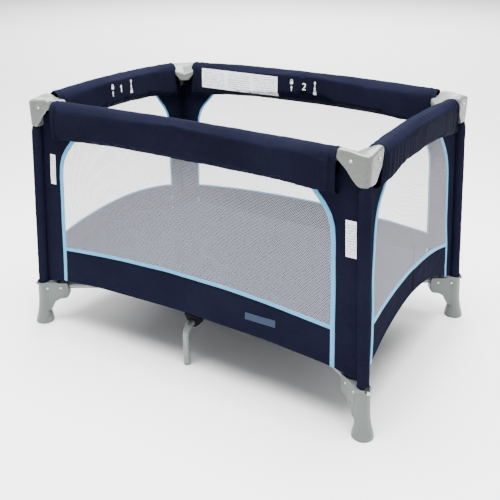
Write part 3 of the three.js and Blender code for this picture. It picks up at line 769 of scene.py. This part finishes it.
for corner, (sx, sy) in CORNERS.items():
    post = mirrored(hollow(post_axis(POST_FOOT_Z), post_axis(POST_Z - 1)), sx, sy)
    made = piece(f"post_bar_{corner}", *post, TUBE, f"post_{corner}", "grey_tube")
    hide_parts(f"post_tube_{corner}")
    toward = np.array([sx * U[0], sy * U[1], 0])
    outer = np.array([sx * FOOT_PIVOT[0], sy * FOOT_PIVOT[1], TUBE_Z]) + toward * 5
    inner = np.array([sx * HUB_PIVOT[0], sy * HUB_PIVOT[1], TUBE_Z]) - toward * 5
    made = piece(f"floor_bar_{corner}", *hollow(outer, inner), TUBE, f"tube_{corner}", "grey_tube")
    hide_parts(f"floor_tube_{corner}")
for side, s in (("front", -1), ("back", 1)):
    # along the floor, round a bend of radius 28 and down to the ground
    outline = [(50, LEG_Z), (150, LEG_Z), (302, LEG_Z)]
    outline += [(302 + 28 * sin(t), LEG_Z - 28 + 28 * cos(t)) for t in np.linspace(0.12, pi / 2, 9)]
    outline += [(330, 60), (330, 5), (330, 1.5), (330, 0)]
    path = [(LEG_X, *point) for point in outline]
    radii = [10.0] * (len(path) - 2) + [9.6, 8.6]
    made = piece(f"leg_{side}_bar", *mirrored(tube(path, radii, 28), s, s), TUBE, f"leg_{side}", "grey_tube")
    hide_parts(f"centre_leg_{side}")
    made = piece(f"leg_{side}_clip", *mirrored(bracket, s, s), BLACK, f"leg_{side}", "black_plastic")
    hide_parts(f"leg_bracket_{side}")


# ---- cloth on the corner posts ----
def post_sleeve(seed):
    """The cloth tunnel round a +X +Y post, a little rumpled, gathered into the casting at the top."""
    heights = np.concatenate([np.linspace(138.5, 600, 110), np.linspace(604, 646, 14)])
    angle = np.linspace(0, 2 * pi, 48, endpoint=False)
    rows = []
    for z in heights:
        base = post_axis(z)
        r = 15 - 3 * climb(z, 618, 16)
        r = r + 0.35 * waves(angle * 15, z, seed, 3, 45, 2.2) + 0.15 * sin(z / 5.2)
        r = r - 1.6 * np.clip((142 - z) / 4, 0, 1)
        rows.append(base + np.stack([r * np.cos(angle), r * np.sin(angle), 0 * angle], axis=1))
    ring = np.stack([np.cos(angle), np.sin(angle), 0 * angle], axis=1)
    lining = [post_axis(z) + 11.6 * ring for z in (646, 138.5)]
    verts = np.concatenate(rows + lining)
    return verts, grid_faces(len(rows) + 2, len(angle), close_rows=True, close_columns=True)


for number, (corner, (sx, sy)) in enumerate(CORNERS.items()):
    body = f"post_{corner}"
    sleeve = mirrored(post_sleeve(10 + number), sx, sy)
    made = piece(f"post_sleeve_{corner}", *sleeve, NAVY, body, "navy_fabric")
    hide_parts(f"corner_sleeve_{corner}")
    # the turned hem of the sleeve, just above the foot
    ring = [
        post_axis(140.5 + 0.5 * sin(3 * t)) + (15.2 * cos(t), 15.2 * sin(t), 0)
        for t in np.linspace(0, 2 * pi, 41)
    ]
    hem_shape = mirrored(tube(ring, 1.1, 8), sx, sy)
    piece(f"sleeve_hem_{corner}", *hem_shape, PIPING, body, "navy_piping")


# ---- side panels ----
# A panel point is (a, z, t): a along the side from its middle, z up, t outwards from the panel.
def panel_point(side, sign, a, z, t=0.0):
    """World points of a half panel, for a measured from the middle towards its post."""
    offset = post_xy(z)[1 if is_long(side) else 0] - 10 + t
    (ox, oy), _ = SIDES[side]
    a, z, offset = np.broadcast_arrays(np.asarray(a, float) * sign, z, offset)
    if is_long(side):
        return np.stack([a, offset * oy, z], axis=-1)
    return np.stack([offset * ox, a, z], axis=-1)


def post_edge(side, z):
    """Where a panel meets its post sleeve."""
    return post_xy(z)[0 if is_long(side) else 1] - 10.5


WINDOW = {
    # centre line of the binding: (along, z), from inside the rail cover down to the hem
    True: [
        (352, 630), (366, 616), (381, 600), (402, 577), (418, 553), (428, 525), (432, 490),
        (435, 430), (440.5, 360), (445, 260), (450.5, 160), (451.5, 150),
    ],
    False: [
        (185, 630), (199, 616), (213, 600), (234, 578), (251, 553), (262, 525), (268, 495),
        (272, 430), (277, 360), (283, 260), (289, 165), (290, 155),
    ],
}


def window_edge(side, z):
    """How far along a side the middle of its binding is at height z."""
    line = np.array(WINDOW[is_long(side)])[::-1]
    return np.interp(z, line[:, 1], line[:, 0])


RAIL_SHAPE = {
    # heights over the tube axis of the top, at the ends and at the middle, and of the bottom
    "front": ((28, 33), (-83, -82)),
    "back": ((37, 47), (-80, -62)),
    "left": ((36, 45), (-80, -62)),
    "right": ((27, 38), (-78, -68)),
}
COVER_END = {True: 431.0, False: 272.0}
# where along each rail its cover is gathered over the joint
GATHERS = {"front": 205, "back": -150, "left": 60, "right": -150}


def net_top(side, a):
    """The net ends 5 above the lower edge of the rail cover."""
    (_, _), (low_end, low_mid) = RAIL_SHAPE[side]
    share = np.clip(np.abs(a) / COVER_END[is_long(side)], 0, 1)
    return RAIL_Z + 5 + low_end + (low_mid - low_end) * (1 - share**2.2)


def band_top(side, a):
    """Height of the piping, a along the side."""
    if is_long(side):
        return 266 + 26 * (1 - (a / 443) ** 2)
    return 270 + 37 * (1 - (a / 280) ** 2)


def hem(side, a):
    """Height of the band's lower edge, a along the side."""
    if is_long(side):
        return 160 + 20 * (1 - np.abs(a / 445) ** 2)
    return 164 + 69 * (1 - np.abs(a / 283) ** 2.1)


def corner_hem(side, a):
    """Lower edge of the corner cloth, from the binding out to the post."""
    start, low = window_edge(side, 160), hem(side, window_edge(side, 160))
    share = np.clip((a - start) / (post_edge(side, 140) - start), 0, 1)
    return low + (139.5 - low) * share**1.2


def ripples(side, sign, a, z):
    """Out of plane shape of the stretched cloth: slack near the posts, pulled flat at the middle."""
    seed = {"front": 1, "back": 5, "right": 9, "left": 13}[side] + (sign > 0)
    near = climb(a, window_edge(side, 400), 60)
    slack = 0.9 * waves(a * 0.35, z, seed, 4, 34) * near * np.clip((z - 140) / 60, 0.2, 1)
    return slack + 1.3 * waves(a, z, seed + 30, 2, 260)


def panel_squash(obj, side, sign):
    """Works out a half panel's way along its side, its tilt and its anchor, which are not used, and gives
    the panel its own copy of its mesh.
    """
    (ox, oy), _ = SIDES[side]
    out = Vector((ox, oy, 0))
    along = Vector((-sign, 0, 0)) if is_long(side) else Vector((0, -sign, 0))
    tilt, keep = (radians(9.6), 0.28) if is_long(side) else (radians(11.9), 0.29)
    anchor = panel_point(side, sign, post_edge(side, 380) + 10.5, 380.0) / 1000
    along * cos(tilt) - out * sin(tilt)
    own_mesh(obj)


def cut_sheet(obj, width, length, layers):
    """Works out a piece of cloth's area for each layer, at most the size that it was cut to, in metres; the
    result is not used.
    """
    area = sum(face.area for face in obj.data.polygons) / layers
    area = min(area, width * length)


def half_panel(side, half):
    """Net, navy cloth, binding and piping of one half of a side. Gives back the net."""
    sign, corner = SIDES[side][1][half]
    body, name = f"post_{corner}", f"{side}_{half}"
    made = []

    # the net, from under the piping to inside the rail cover
    rows, columns = 90, 80
    v, u = shares(rows, columns)
    rough = 270 + v * (616 - 270)
    a = u * (window_edge(side, rough) + 3)
    z = band_top(side, a) - 3 + v * (net_top(side, a) - band_top(side, a) + 3)
    t = ripples(side, sign, a, z)
    verts = panel_point(side, sign, a, z, t).reshape(-1, 3)
    uv = np.stack([a * sign, z], axis=-1).reshape(-1, 2) / 1000
    faces = grid_faces(rows, columns)
    made.append(piece(f"{name}_net", verts, faces, NET, body, "white_mesh", uv))

    # the bottom band, doubled cloth with a turned hem
    rows, columns = 26, 90
    v, u = shares(rows, columns)
    a = u * (window_edge(side, 200) + 1)
    low = hem(side, a)
    z = low + v * (band_top(side, a) - low)
    t = ripples(side, sign, a, z) + waves(a, z, 77, 3, 90, 0.6) * np.sin(pi * v)
    t = t + 0.8 * bell(z - low - 5, 4) - 0.9 * bell(z - low - 11, 1.6)
    verts = panel_point(side, sign, a, z, t + 0.6).reshape(-1, 3)
    faces = grid_faces(rows, columns)
    made.append(piece(f"{name}_band", verts, faces, NAVY, body, "navy_fabric", solidify=1.6))

    # the corner cloth between the binding and the post
    rows, columns, flap_foot = 130, 34, 606
    v, u = shares(rows, columns)
    rough = 150 + v * (flap_foot - 150)
    start, end = window_edge(side, rough), post_edge(side, rough)
    a = start + u * (end - start)
    z = corner_hem(side, a) + v * (flap_foot - corner_hem(side, a))
    # its flap goes up between the rail cover and the casting, and into the post
    flap_z = flap_foot + np.linspace(0.2, 1, 12)[:, None] * 66 + 0 * u
    start = window_edge(side, flap_z)
    start = start + (SHOULDER[is_long(side)] - start) * climb(flap_z, 630, 20)
    end = post_edge(side, flap_z) + 7 * climb(flap_z, 600, 30)
    a = np.concatenate([a, start + u * (end - start)])
    z = np.concatenate([z, flap_z])
    from_post = post_edge(side, z) - a
    t = ripples(side, sign, a, z) * climb(from_post, 0, 14) - 0.9 * bell(from_post - 9, 1.8) + 0.5
    verts = panel_point(side, sign, a, z, t).reshape(-1, 3)
    faces = grid_faces(len(a), columns)
    made.append(piece(f"{name}_corner", verts, faces, NAVY, body, "navy_fabric", solidify=1.6))

    # light blue binding down the window and piping along the band
    line = WINDOW[is_long(side)]
    z = np.linspace(line[0][1], corner_hem(side, line[-1][0]) + 1.0, 90)
    path = np.stack([window_edge(side, z), z], axis=1)
    made.append(tape(f"{name}_binding", side, sign, path, 12.5, body))
    a = np.linspace(0, window_edge(side, 268) - 3, 70)
    path = np.stack([a, band_top(side, a)], axis=1)
    made.append(tape(f"{name}_piping", side, sign, path, 10.0, body))

    for obj in made:
        panel_squash(obj, side, sign)
    net_piece, band, corner_cloth, binding, piping = made
    reach = window_edge(side, 200) / 1000
    cut_sheet(net_piece, reach + 0.003, 0.36, 1)
    cut_sheet(band, reach + 0.001, 0.14, 2)
    cut_sheet(corner_cloth, 0.14, 0.54, 2)
    return net_piece


def tape(name, side, sign, path, width, body):
    """Folded tape sewn over an edge: bound round both faces of the panel."""
    section = [(-1, 0.2), (-0.92, 1.5), (-0.55, 2.0), (0, 2.1), (0.55, 2.0), (0.92, 1.5), (1, 0.2)]
    section += [(0.92, -0.9), (0.5, -1.2), (0, -1.3), (-0.5, -1.2), (-0.92, -0.9)]
    across, lift = np.array(section).T
    place = path[:, None] + left_of(path)[:, None] * (across * width / 2)[None, :, None]
    t = lift[None, :] + ripples(side, sign, *path.T)[:, None] + 0.4
    verts = panel_point(side, sign, place[..., 0], place[..., 1], t).reshape(-1, 3)
    faces = tube_faces(len(path), len(section))
    return piece(name, verts, faces, BINDING, body, "light_blue_binding")


for side in SIDES:
    parts = [half_panel(side, half) for half in SIDES[side][1]]
    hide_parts(f"{side}_panel")


# ---- padded rail covers ----
def rail_point(side, c, w, h):
    """World points from c along the side, w outwards and h up, all from the rail tube's middle."""
    (ox, oy), _ = SIDES[side]
    c, w, h = np.broadcast_arrays(c, w, h)
    if is_long(side):
        return np.stack([c, oy * (LONG_Y + w), RAIL_Z + h], axis=-1)
    return np.stack([ox * (SHORT_X + w), c, RAIL_Z + h], axis=-1)


def cover_outline(share):
    """Unit outline of a cover: width from -1 to 1, height from 0 to 1, walked by share from 0 to 1."""
    points = [(cos(t), 0.76 + 0.24 * sin(t) ** 0.9) for t in np.linspace(0, pi, 40)]
    points += [(cos(t), 0.13 + 0.13 * sin(t)) for t in np.linspace(pi, 2 * pi, 40)]
    points = np.array(points + points[:1])
    gone = np.linalg.norm(np.diff(points * (26, 110), axis=0), axis=1)
    gone = np.concatenate([[0], np.cumsum(gone)])
    return np.stack([np.interp(share * gone[-1], gone, points[:, k]) for k in (0, 1)], axis=-1)


def cover_grid(side):
    """A whole cover as points (along, out, up), with rows along it and columns round it."""
    end = COVER_END[is_long(side)]
    rows, columns = 2 * int(end / 6.5) + 1, 56
    c = np.linspace(-end, end, rows)[:, None]
    outline = cover_outline(np.linspace(0, 1, columns, endpoint=False))
    (top_end, top_mid), (low_end, low_mid) = RAIL_SHAPE[side]
    rise = np.clip(1 - np.abs(c / end) ** 2.2, 0, 1)
    top = top_end + (top_mid - top_end) * rise
    low = low_end + (low_mid - low_end) * rise
    thin = 4.5
    w = (26 - thin) * outline[None, :, 0] + 0 * c
    h = low + thin * 0.4 + (top - low - thin * 0.9) * outline[None, :, 1]
    # the lower part of each end reaches a little further out
    down = np.clip((top - h) / (top - low), 0, 1) ** 1.5
    c = c + 5 * np.sign(c) * down * climb(np.abs(c), end - 60, 60) ** 2
    start = np.stack([c, w, h], axis=-1)
    seam = int(np.argmin(outline[:, 1]))
    held = [i * columns + seam for i in range(rows)]
    full = puffed(start.reshape(-1, 3), tube_faces(rows, columns), held, thin + 1.5, growth=0.02)
    grid = refined(full.reshape(start.shape), wrap=True)
    out = np.cross(np.gradient(grid, axis=0), np.roll(grid, -1, 1) - np.roll(grid, 1, 1))
    out /= np.maximum(np.linalg.norm(out, axis=-1), 1e-9)[..., None]
    middle = grid.mean(axis=1)[:, None, :]
    out *= np.sign((out * (grid - middle)).sum(axis=-1).mean())
    # folds run round the cover: strong next to the corners and over the joint, weak elsewhere
    along = grid[..., 0]
    turn = np.arange(grid.shape[1])[None, :] * 300 / grid.shape[1]
    seed = {"front": 40, "back": 50, "right": 60, "left": 70}[side]
    strength = 0.34 + 1.6 * bell(end - np.abs(along), 45) + 0.5 * bell(along - GATHERS[side], 55)
    swell = waves(along, turn * 0.1, seed, 3, 22) * strength
    swell += 0.9 * waves(along, turn * 0.5, seed + 5, 3, 150)
    # the sewn end: a groove of stitching and a loose lip beyond it
    reach = np.abs(along) - end
    swell += -1.6 * bell(reach + 13, 2.2) + 1.1 * bell(reach + 4, 5)
    return grid + out * swell[..., None]


COVER_GRIDS = {side: cover_grid(side) for side in SIDES}


def rail_cover(side, half):
    """The half of a cover towards one corner, from rings that go from the middle outwards."""
    sign = SIDES[side][1][half][0]
    grid = COVER_GRIDS[side]
    middle = len(grid) // 2
    rings = (grid[middle:] if sign > 0 else grid[: middle + 1][::-1]).copy()
    rings[0, :, 0] += 0.01 * sign
    # the lip is turned in, and the foam sits back inside it
    last, centre = rings[-1], rings[-1].mean(axis=0)
    rows = [rail_point(side, *ring.T) for ring in rings]
    for inset, back in ((1.2, -0.8), (2.6, -0.2), (3.2, 6), (4.0, 15)):
        inner = centre + (last - centre) * (1 - inset / 26, 1 - inset / 26, 1 - inset / 55)
        rows.append(rail_point(side, last[:, 0] - sign * back, inner[:, 1], inner[:, 2]))
    verts, faces = np.concatenate(rows), tube_faces(len(rows), rings.shape[1])
    body = f"{side}_rail_{half}"
    made = piece(f"{side}_cover_{half}", verts, faces, NAVY_RAIL, body, "navy_padding")
    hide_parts(f"{side}_rail_pad_{half}")
    cover_squash(made, side)
    # the double line of stitching round the sewn end
    for number, gap in enumerate((11.0, 15.0)):
        short_of_end = COVER_END[is_long(side)] - np.abs(rings[:, :, 0]).mean(axis=1)
        ring = rings[int(np.argmin(np.abs(short_of_end - gap)))]
        middle = ring.mean(axis=0)
        line = middle + (ring - middle) * (1, 1 + 0.2 / 26, 1 + 0.2 / 55)
        path = rail_point(side, *np.concatenate([line, line[:1]]).T)
        name = f"{side}_cover_stitch_{half}_{number}"
        cover_squash(piece(name, *tube(path, 0.42, 6), PIPING, body, "sewing_thread"), side)


def cover_squash(obj, side):
    """Gives a cover piece its own copy of its mesh; its anchor on the tube is worked out but not used."""
    anchor = rail_point(side, 0.0, 0.0, 0.0) / 1000
    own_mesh(obj)


for side in SIDES:
    for half in SIDES[side][1]:
        rail_cover(side, half)


# ---- floor sheet and mattress, a quarter on each floor tube ----
FLOOR_X, FLOOR_Y, FLOOR_Z = 523, 343, 191.2  # half the size and the height of the floor sheet
MAT_X, MAT_Y, MAT_Z = 473, 325, 205.4  # half the size and the middle height of the mattress
MAT_FOLDS = (-237, 0, 237)


def quarter_squash(obj, sx, sy):
    """Gives a quarter of the floor sheet or of the mattress its own copy of its mesh."""
    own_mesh(obj)


def floor_quarter(corner):
    """A quarter of the floor sheet, turned up into the hem at the ends and down at the sides."""
    sx, sy = CORNERS[corner]
    rows, columns = 70, 56
    u, v = shares(rows, columns)
    x, y = u * FLOOR_X + 0 * v, v * FLOOR_Y + 0 * u
    # round the corner off before the post
    over = np.maximum(0, np.hypot(np.maximum(x - 480, 0), np.maximum(y - 300, 0)) - 40)
    scale = 1 - over / 90
    x = np.minimum(x, 480) + np.maximum(x - 480, 0) * scale
    y = np.minimum(y, 300) + np.maximum(y - 300, 0) * scale
    end, side = climb(x, 476, 46) ** 1.1, climb(y, 322, 20) ** 1.2
    z = FLOOR_Z + end * (hem("right", y) + 3 - FLOOR_Z) * (1 - side)
    z = z + side * (hem("front", x) + 6 - FLOOR_Z)
    px, py = post_xy(z)
    x = x + end**3 * (px - 10.6 - FLOOR_X) * (over < 1)
    y = y + side**3 * (py - 10.6 - FLOOR_Y) * (over < 1)
    verts = np.stack([x * sx, y * sy, z], axis=-1).reshape(-1, 3)
    name, faces = f"floor_cloth_{corner}", grid_faces(rows, columns)
    return piece(name, verts, faces, NAVY, f"tube_{corner}", "navy_fabric", solidify=1.2)


def mat_grid():
    """The whole upper face of the mattress: four panels with sewn folds between them."""
    near = np.array([0, 1.5, 4.5, 9, 15, 23])
    x = np.concatenate([np.linspace(0, 440, 39), MAT_X - near[::-1]])
    y = np.concatenate([np.linspace(0, 293, 27), MAT_Y - near[::-1]])
    x, y = np.concatenate([-x[:0:-1], x])[:, None], np.concatenate([-y[:0:-1], y])[None, :]
    px, py = x + 0 * y, y + 0 * x
    r = 50
    dx, dy = np.maximum(np.abs(px) - MAT_X + r, 0), np.maximum(np.abs(py) - MAT_Y + r, 0)
    far = np.maximum(dx, dy)
    pull = np.where(far > 0, far / np.maximum(np.hypot(dx, dy), 1e-6), 1)
    px = np.sign(px) * (np.minimum(np.abs(px), MAT_X - r) + dx * pull)
    py = np.sign(py) * (np.minimum(np.abs(py), MAT_Y - r) + dy * pull)
    rim = np.clip((r - far) / 13, 0, 1)
    thin = 2.5
    z = MAT_Z + (12.0 - thin) * np.sqrt(1 - (1 - rim) ** 2)
    for fold in MAT_FOLDS:
        z = z - 0.8 * bell(px - fold, 5.0) * rim
    return np.stack([px, py, z], axis=-1)


def mattress_quarters():
    """Pairs of a corner and the quarter of the filled mattress that rides on its floor tube."""
    top = mat_grid()
    rows, columns = top.shape[:2]
    count = rows * columns
    low = top * (1, 1, 0) + (0, 0, 1) * (2 * MAT_Z - np.maximum(top[..., 2:], MAT_Z))
    # the under face is held flat, and so are the folds
    held = list(range(count, 2 * count))
    for fold in MAT_FOLDS:
        row = int(np.argmin(np.abs(top[:, columns // 2, 0] - fold)))
        held += [row * columns + j for j in range(columns)]
    both = np.concatenate([top.reshape(-1, 3), low.reshape(-1, 3)])
    full = puffed(both, pillow_faces(rows, columns), held, 2.6)[:count].reshape(top.shape)
    fine_top, fine_low = refined(full), refined(low)
    soft = 0.35 * waves(fine_top[..., 0], fine_top[..., 1], 90, 4, 140)
    fine_top[..., 2] += soft * np.clip((fine_top[..., 2] - 207) / 6, 0, 1)
    fine_top[..., 2] = np.minimum(fine_top[..., 2], 218.6)
    mx, my = fine_top.shape[0] // 2, fine_top.shape[1] // 2
    for corner, (sx, sy) in CORNERS.items():
        cut = slice(mx, None, sx), slice(my, None, sy)
        faces = pillow_faces(*fine_top[cut].shape[:2])
        verts = np.concatenate([fine_top[cut].reshape(-1, 3), fine_low[cut].reshape(-1, 3)])
        name, body = f"mat_{corner}", f"tube_{corner}"
        yield corner, piece(name, verts, faces, NAVY_MAT, body, "navy_mattress")


for corner, mat in mattress_quarters():
    sx, sy = CORNERS[corner]
    floor = floor_quarter(corner)
    quarter_squash(floor, sx, sy)
    quarter_squash(mat, sx, sy)
    if corner == "fl":
        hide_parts("floor_sheet")
        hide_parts("mattress")


# ---- labels and marks ----
def panel_label(name, half, a0, a1, z0, z1, lean, material, slot):
    """A small cloth tag on the front panel's outer face."""
    sign, corner = SIDES["front"][1][half]
    rows, columns = 24, 10
    v, u = shares(rows, columns)
    z = z0 + v * (z1 - z0) + 0 * u
    a = a0 + u * (a1 - a0) + lean * (z1 - z)
    t = ripples("front", sign, a, z) + 1.6 + 0.5 * waves(a, z, 5, 2, 60)
    verts = panel_point("front", sign, a, z, t).reshape(-1, 3)
    uv = np.stack([u + 0 * v, v + 0 * u], axis=-1).reshape(-1, 2)
    faces, body = grid_faces(rows, columns), f"post_{corner}"
    made = piece(name, verts, faces, material, body, slot, uv, solidify=0.5)
    panel_squash(made, "front", sign)


panel_label("care_tag_left", "left", 450, 470, 466, 555, 0.07, LABEL, "white_label")
panel_label("care_tag_right", "right", 459, 486, 459, 548, 0.07, LABEL, "white_label")
panel_label("plain_patch", "right", 196, 286, 218, 238, 0.0, PATCH, "slate_patch")


def inner_skin(side, c, h):
    """How far out a cover's inner face lies, at c along the side and h over the tube."""
    grid = COVER_GRIDS[side]
    inner = grid[:, int(grid.shape[1] * 0.3) : int(grid.shape[1] * 0.74)]
    at = np.interp(c, grid[:, :, 0].mean(axis=1), np.arange(len(grid)))
    row = int(min(at, len(grid) - 2))
    found = []
    for line in (inner[row], inner[row + 1]):
        order = np.argsort(line[:, 2])
        found.append(np.interp(h, line[order, 2], line[order, 1]))
    return found[0] + (found[1] - found[0]) * (at - row)


def on_cover(name, side, half, points, faces, material, slot, uv=None, lift=0.5):
    """A thin piece lying on the inner face of a rail cover, from points (along, height)."""
    skin = np.array([inner_skin(side, c, z - RAIL_Z) for c, z in points])
    points = np.asarray(points, float)
    verts = rail_point(side, points[:, 0], skin - lift, points[:, 1] - RAIL_Z)
    body = f"{side}_rail_{half}"
    cover_squash(piece(name, verts, faces, material, body, slot, uv, solidify=0.25), side)


def box_mark(u0, v0, u1, v1):
    return [(u0, v0), (u1, v0), (u1, v1), (u0, v1)]


def stroke(path, width):
    """Quads along a path, each as four points."""
    path = np.asarray(path, float)
    side = left_of(path) * width / 2
    left, right = path + side, path - side
    return [[left[i], right[i], right[i + 1], left[i + 1]] for i in range(len(path) - 1)]


def padlock(v, is_open=False):
    """A padlock whose body's foot is at height v."""
    shackle = [(3.2, v + (10.5 if is_open else 9))]
    shackle += [(3.2 * cos(t), v + 11 + 3.6 * sin(t)) for t in np.linspace(0, pi, 13)]
    shackle += [] if is_open else [(-3.2, v + 9)]
    return [box_mark(-5, v, 5, v + 9)] + stroke(shackle, 1.9)


def arrow(v, length, up=True):
    """An arrow of this length whose lower end is at height v."""
    d = 1 if up else -1
    foot = v if up else v + length
    head = [(-4.2, foot + d * (length - 7)), (4.2, foot + d * (length - 7)), (0, foot + d * length)]
    low, high = sorted((foot, foot + d * (length - 6.5)))
    return [box_mark(-1.3, low, 1.3, high), head]


PRINT_Z = 687.5  # height of the middle of the printed figures
turn = np.linspace(radians(160), radians(-35), 15)
hook = [(5 * cos(t), 5.4 + 4.8 * sin(t)) for t in turn] + [(1.2, -2.6), (-4.6, -9.4)]
FIGURES = {
    "lock_arrow": padlock(4) + arrow(-18, 17),
    "one": [box_mark(-1.9, -11, 1.9, 11)] + stroke([(0.9, 10), (-2.4, 7.4), (-5.4, 6.2)], 3.2),
    "two": stroke(hook, 3.4) + [box_mark(-6.2, -11, 6.2, -7.7)],
    "arrows_unlock": arrow(6, 15) + arrow(-7, 12, False) + padlock(-22, True),
}


def figure(side, middle, figure_name):
    """One printed figure on the half of a cover where its middle is."""
    sign = 1 if middle > 0 else -1
    half = [h for h, (way, _) in SIDES[side][1].items() if way == sign][0]
    points, faces = [], []
    for shape in FIGURES[figure_name]:
        faces.append(tuple(range(len(points), len(points) + len(shape))))
        points += [(middle + u, PRINT_Z + v) for u, v in shape]
    name = f"{side}_print_{figure_name}"
    on_cover(name, side, half, points, faces, PRINT, "white_print", lift=0.7)


figure("back", -36, "lock_arrow")
figure("back", 9, "two")
figure("back", 47, "arrows_unlock")
figure("left", -58, "lock_arrow")
figure("left", -19, "one")
figure("left", 28, "arrows_unlock")

# the wide label, 297 by 64
u, v = shares(60, 12)
uv = np.stack([u + 0 * v, v + 0 * u], axis=-1).reshape(-1, 2)
points, faces = uv * (297, 64) + (-385, 645), grid_faces(60, 12)
on_cover("rail_label", "back", "left", points, faces, WIDE_LABEL, "white_label", uv)


# ---- floor, light and camera ----
bpy.ops.mesh.primitive_plane_add(size=30, location=(0, 0, -0.0005))
ground = bpy.context.object
ground.name = "studio_floor"
paper = Paint("studio_floor_paper", 0.9, Specular_IOR_Level=0.1)
paper.set("Base Color", (0.92, 0.92, 0.92, 1))
ground.data.materials.append(paper.material)

world = bpy.data.worlds.new("studio")
bpy.context.scene.world = world
world.use_nodes = True
backdrop = world.node_tree.nodes["Background"]
backdrop.inputs["Color"].default_value = (1, 1, 1, 1)
backdrop.inputs["Strength"].default_value = 0.5


def area_light(name, location, target, size, power):
    lamp = bpy.data.lights.new(name, "AREA")
    lamp.shape = "RECTANGLE"
    lamp.size, lamp.size_y = size
    lamp.energy = power
    obj = bpy.data.objects.new(name, lamp)
    bpy.context.scene.collection.objects.link(obj)
    obj.location = location
    obj.rotation_euler = (Vector(target) - Vector(location)).to_track_quat("-Z", "Y").to_euler()


area_light("top_softbox", (0.2, -0.3, 3.2), (0, 0, 0.3), (2.6, 2.2), 560)
area_light("far_softbox", (-3.2, 5.9, 4.8), (-3.2, 5.9, 0), (7.0, 5.6), 1350)
area_light("right_softbox", (3.2, -1.2, 2.0), (0, 0, 0.4), (1.6, 1.8), 18)
area_light("front_softbox", (-1.2, -3.6, 1.6), (0, 0, 0.4), (2.0, 1.6), 10)

camera = bpy.data.cameras.new("camera")
camera.lens = 52.08
camera.sensor_width = 36
camera.clip_end = 60
eye = bpy.data.objects.new("camera", camera)
bpy.context.scene.collection.objects.link(eye)
eye.location = (1.0741, -1.7381, 1.1543)
eye.rotation_euler = (radians(90 - 24.20), 0, radians(31.79))
bpy.context.scene.camera = eye
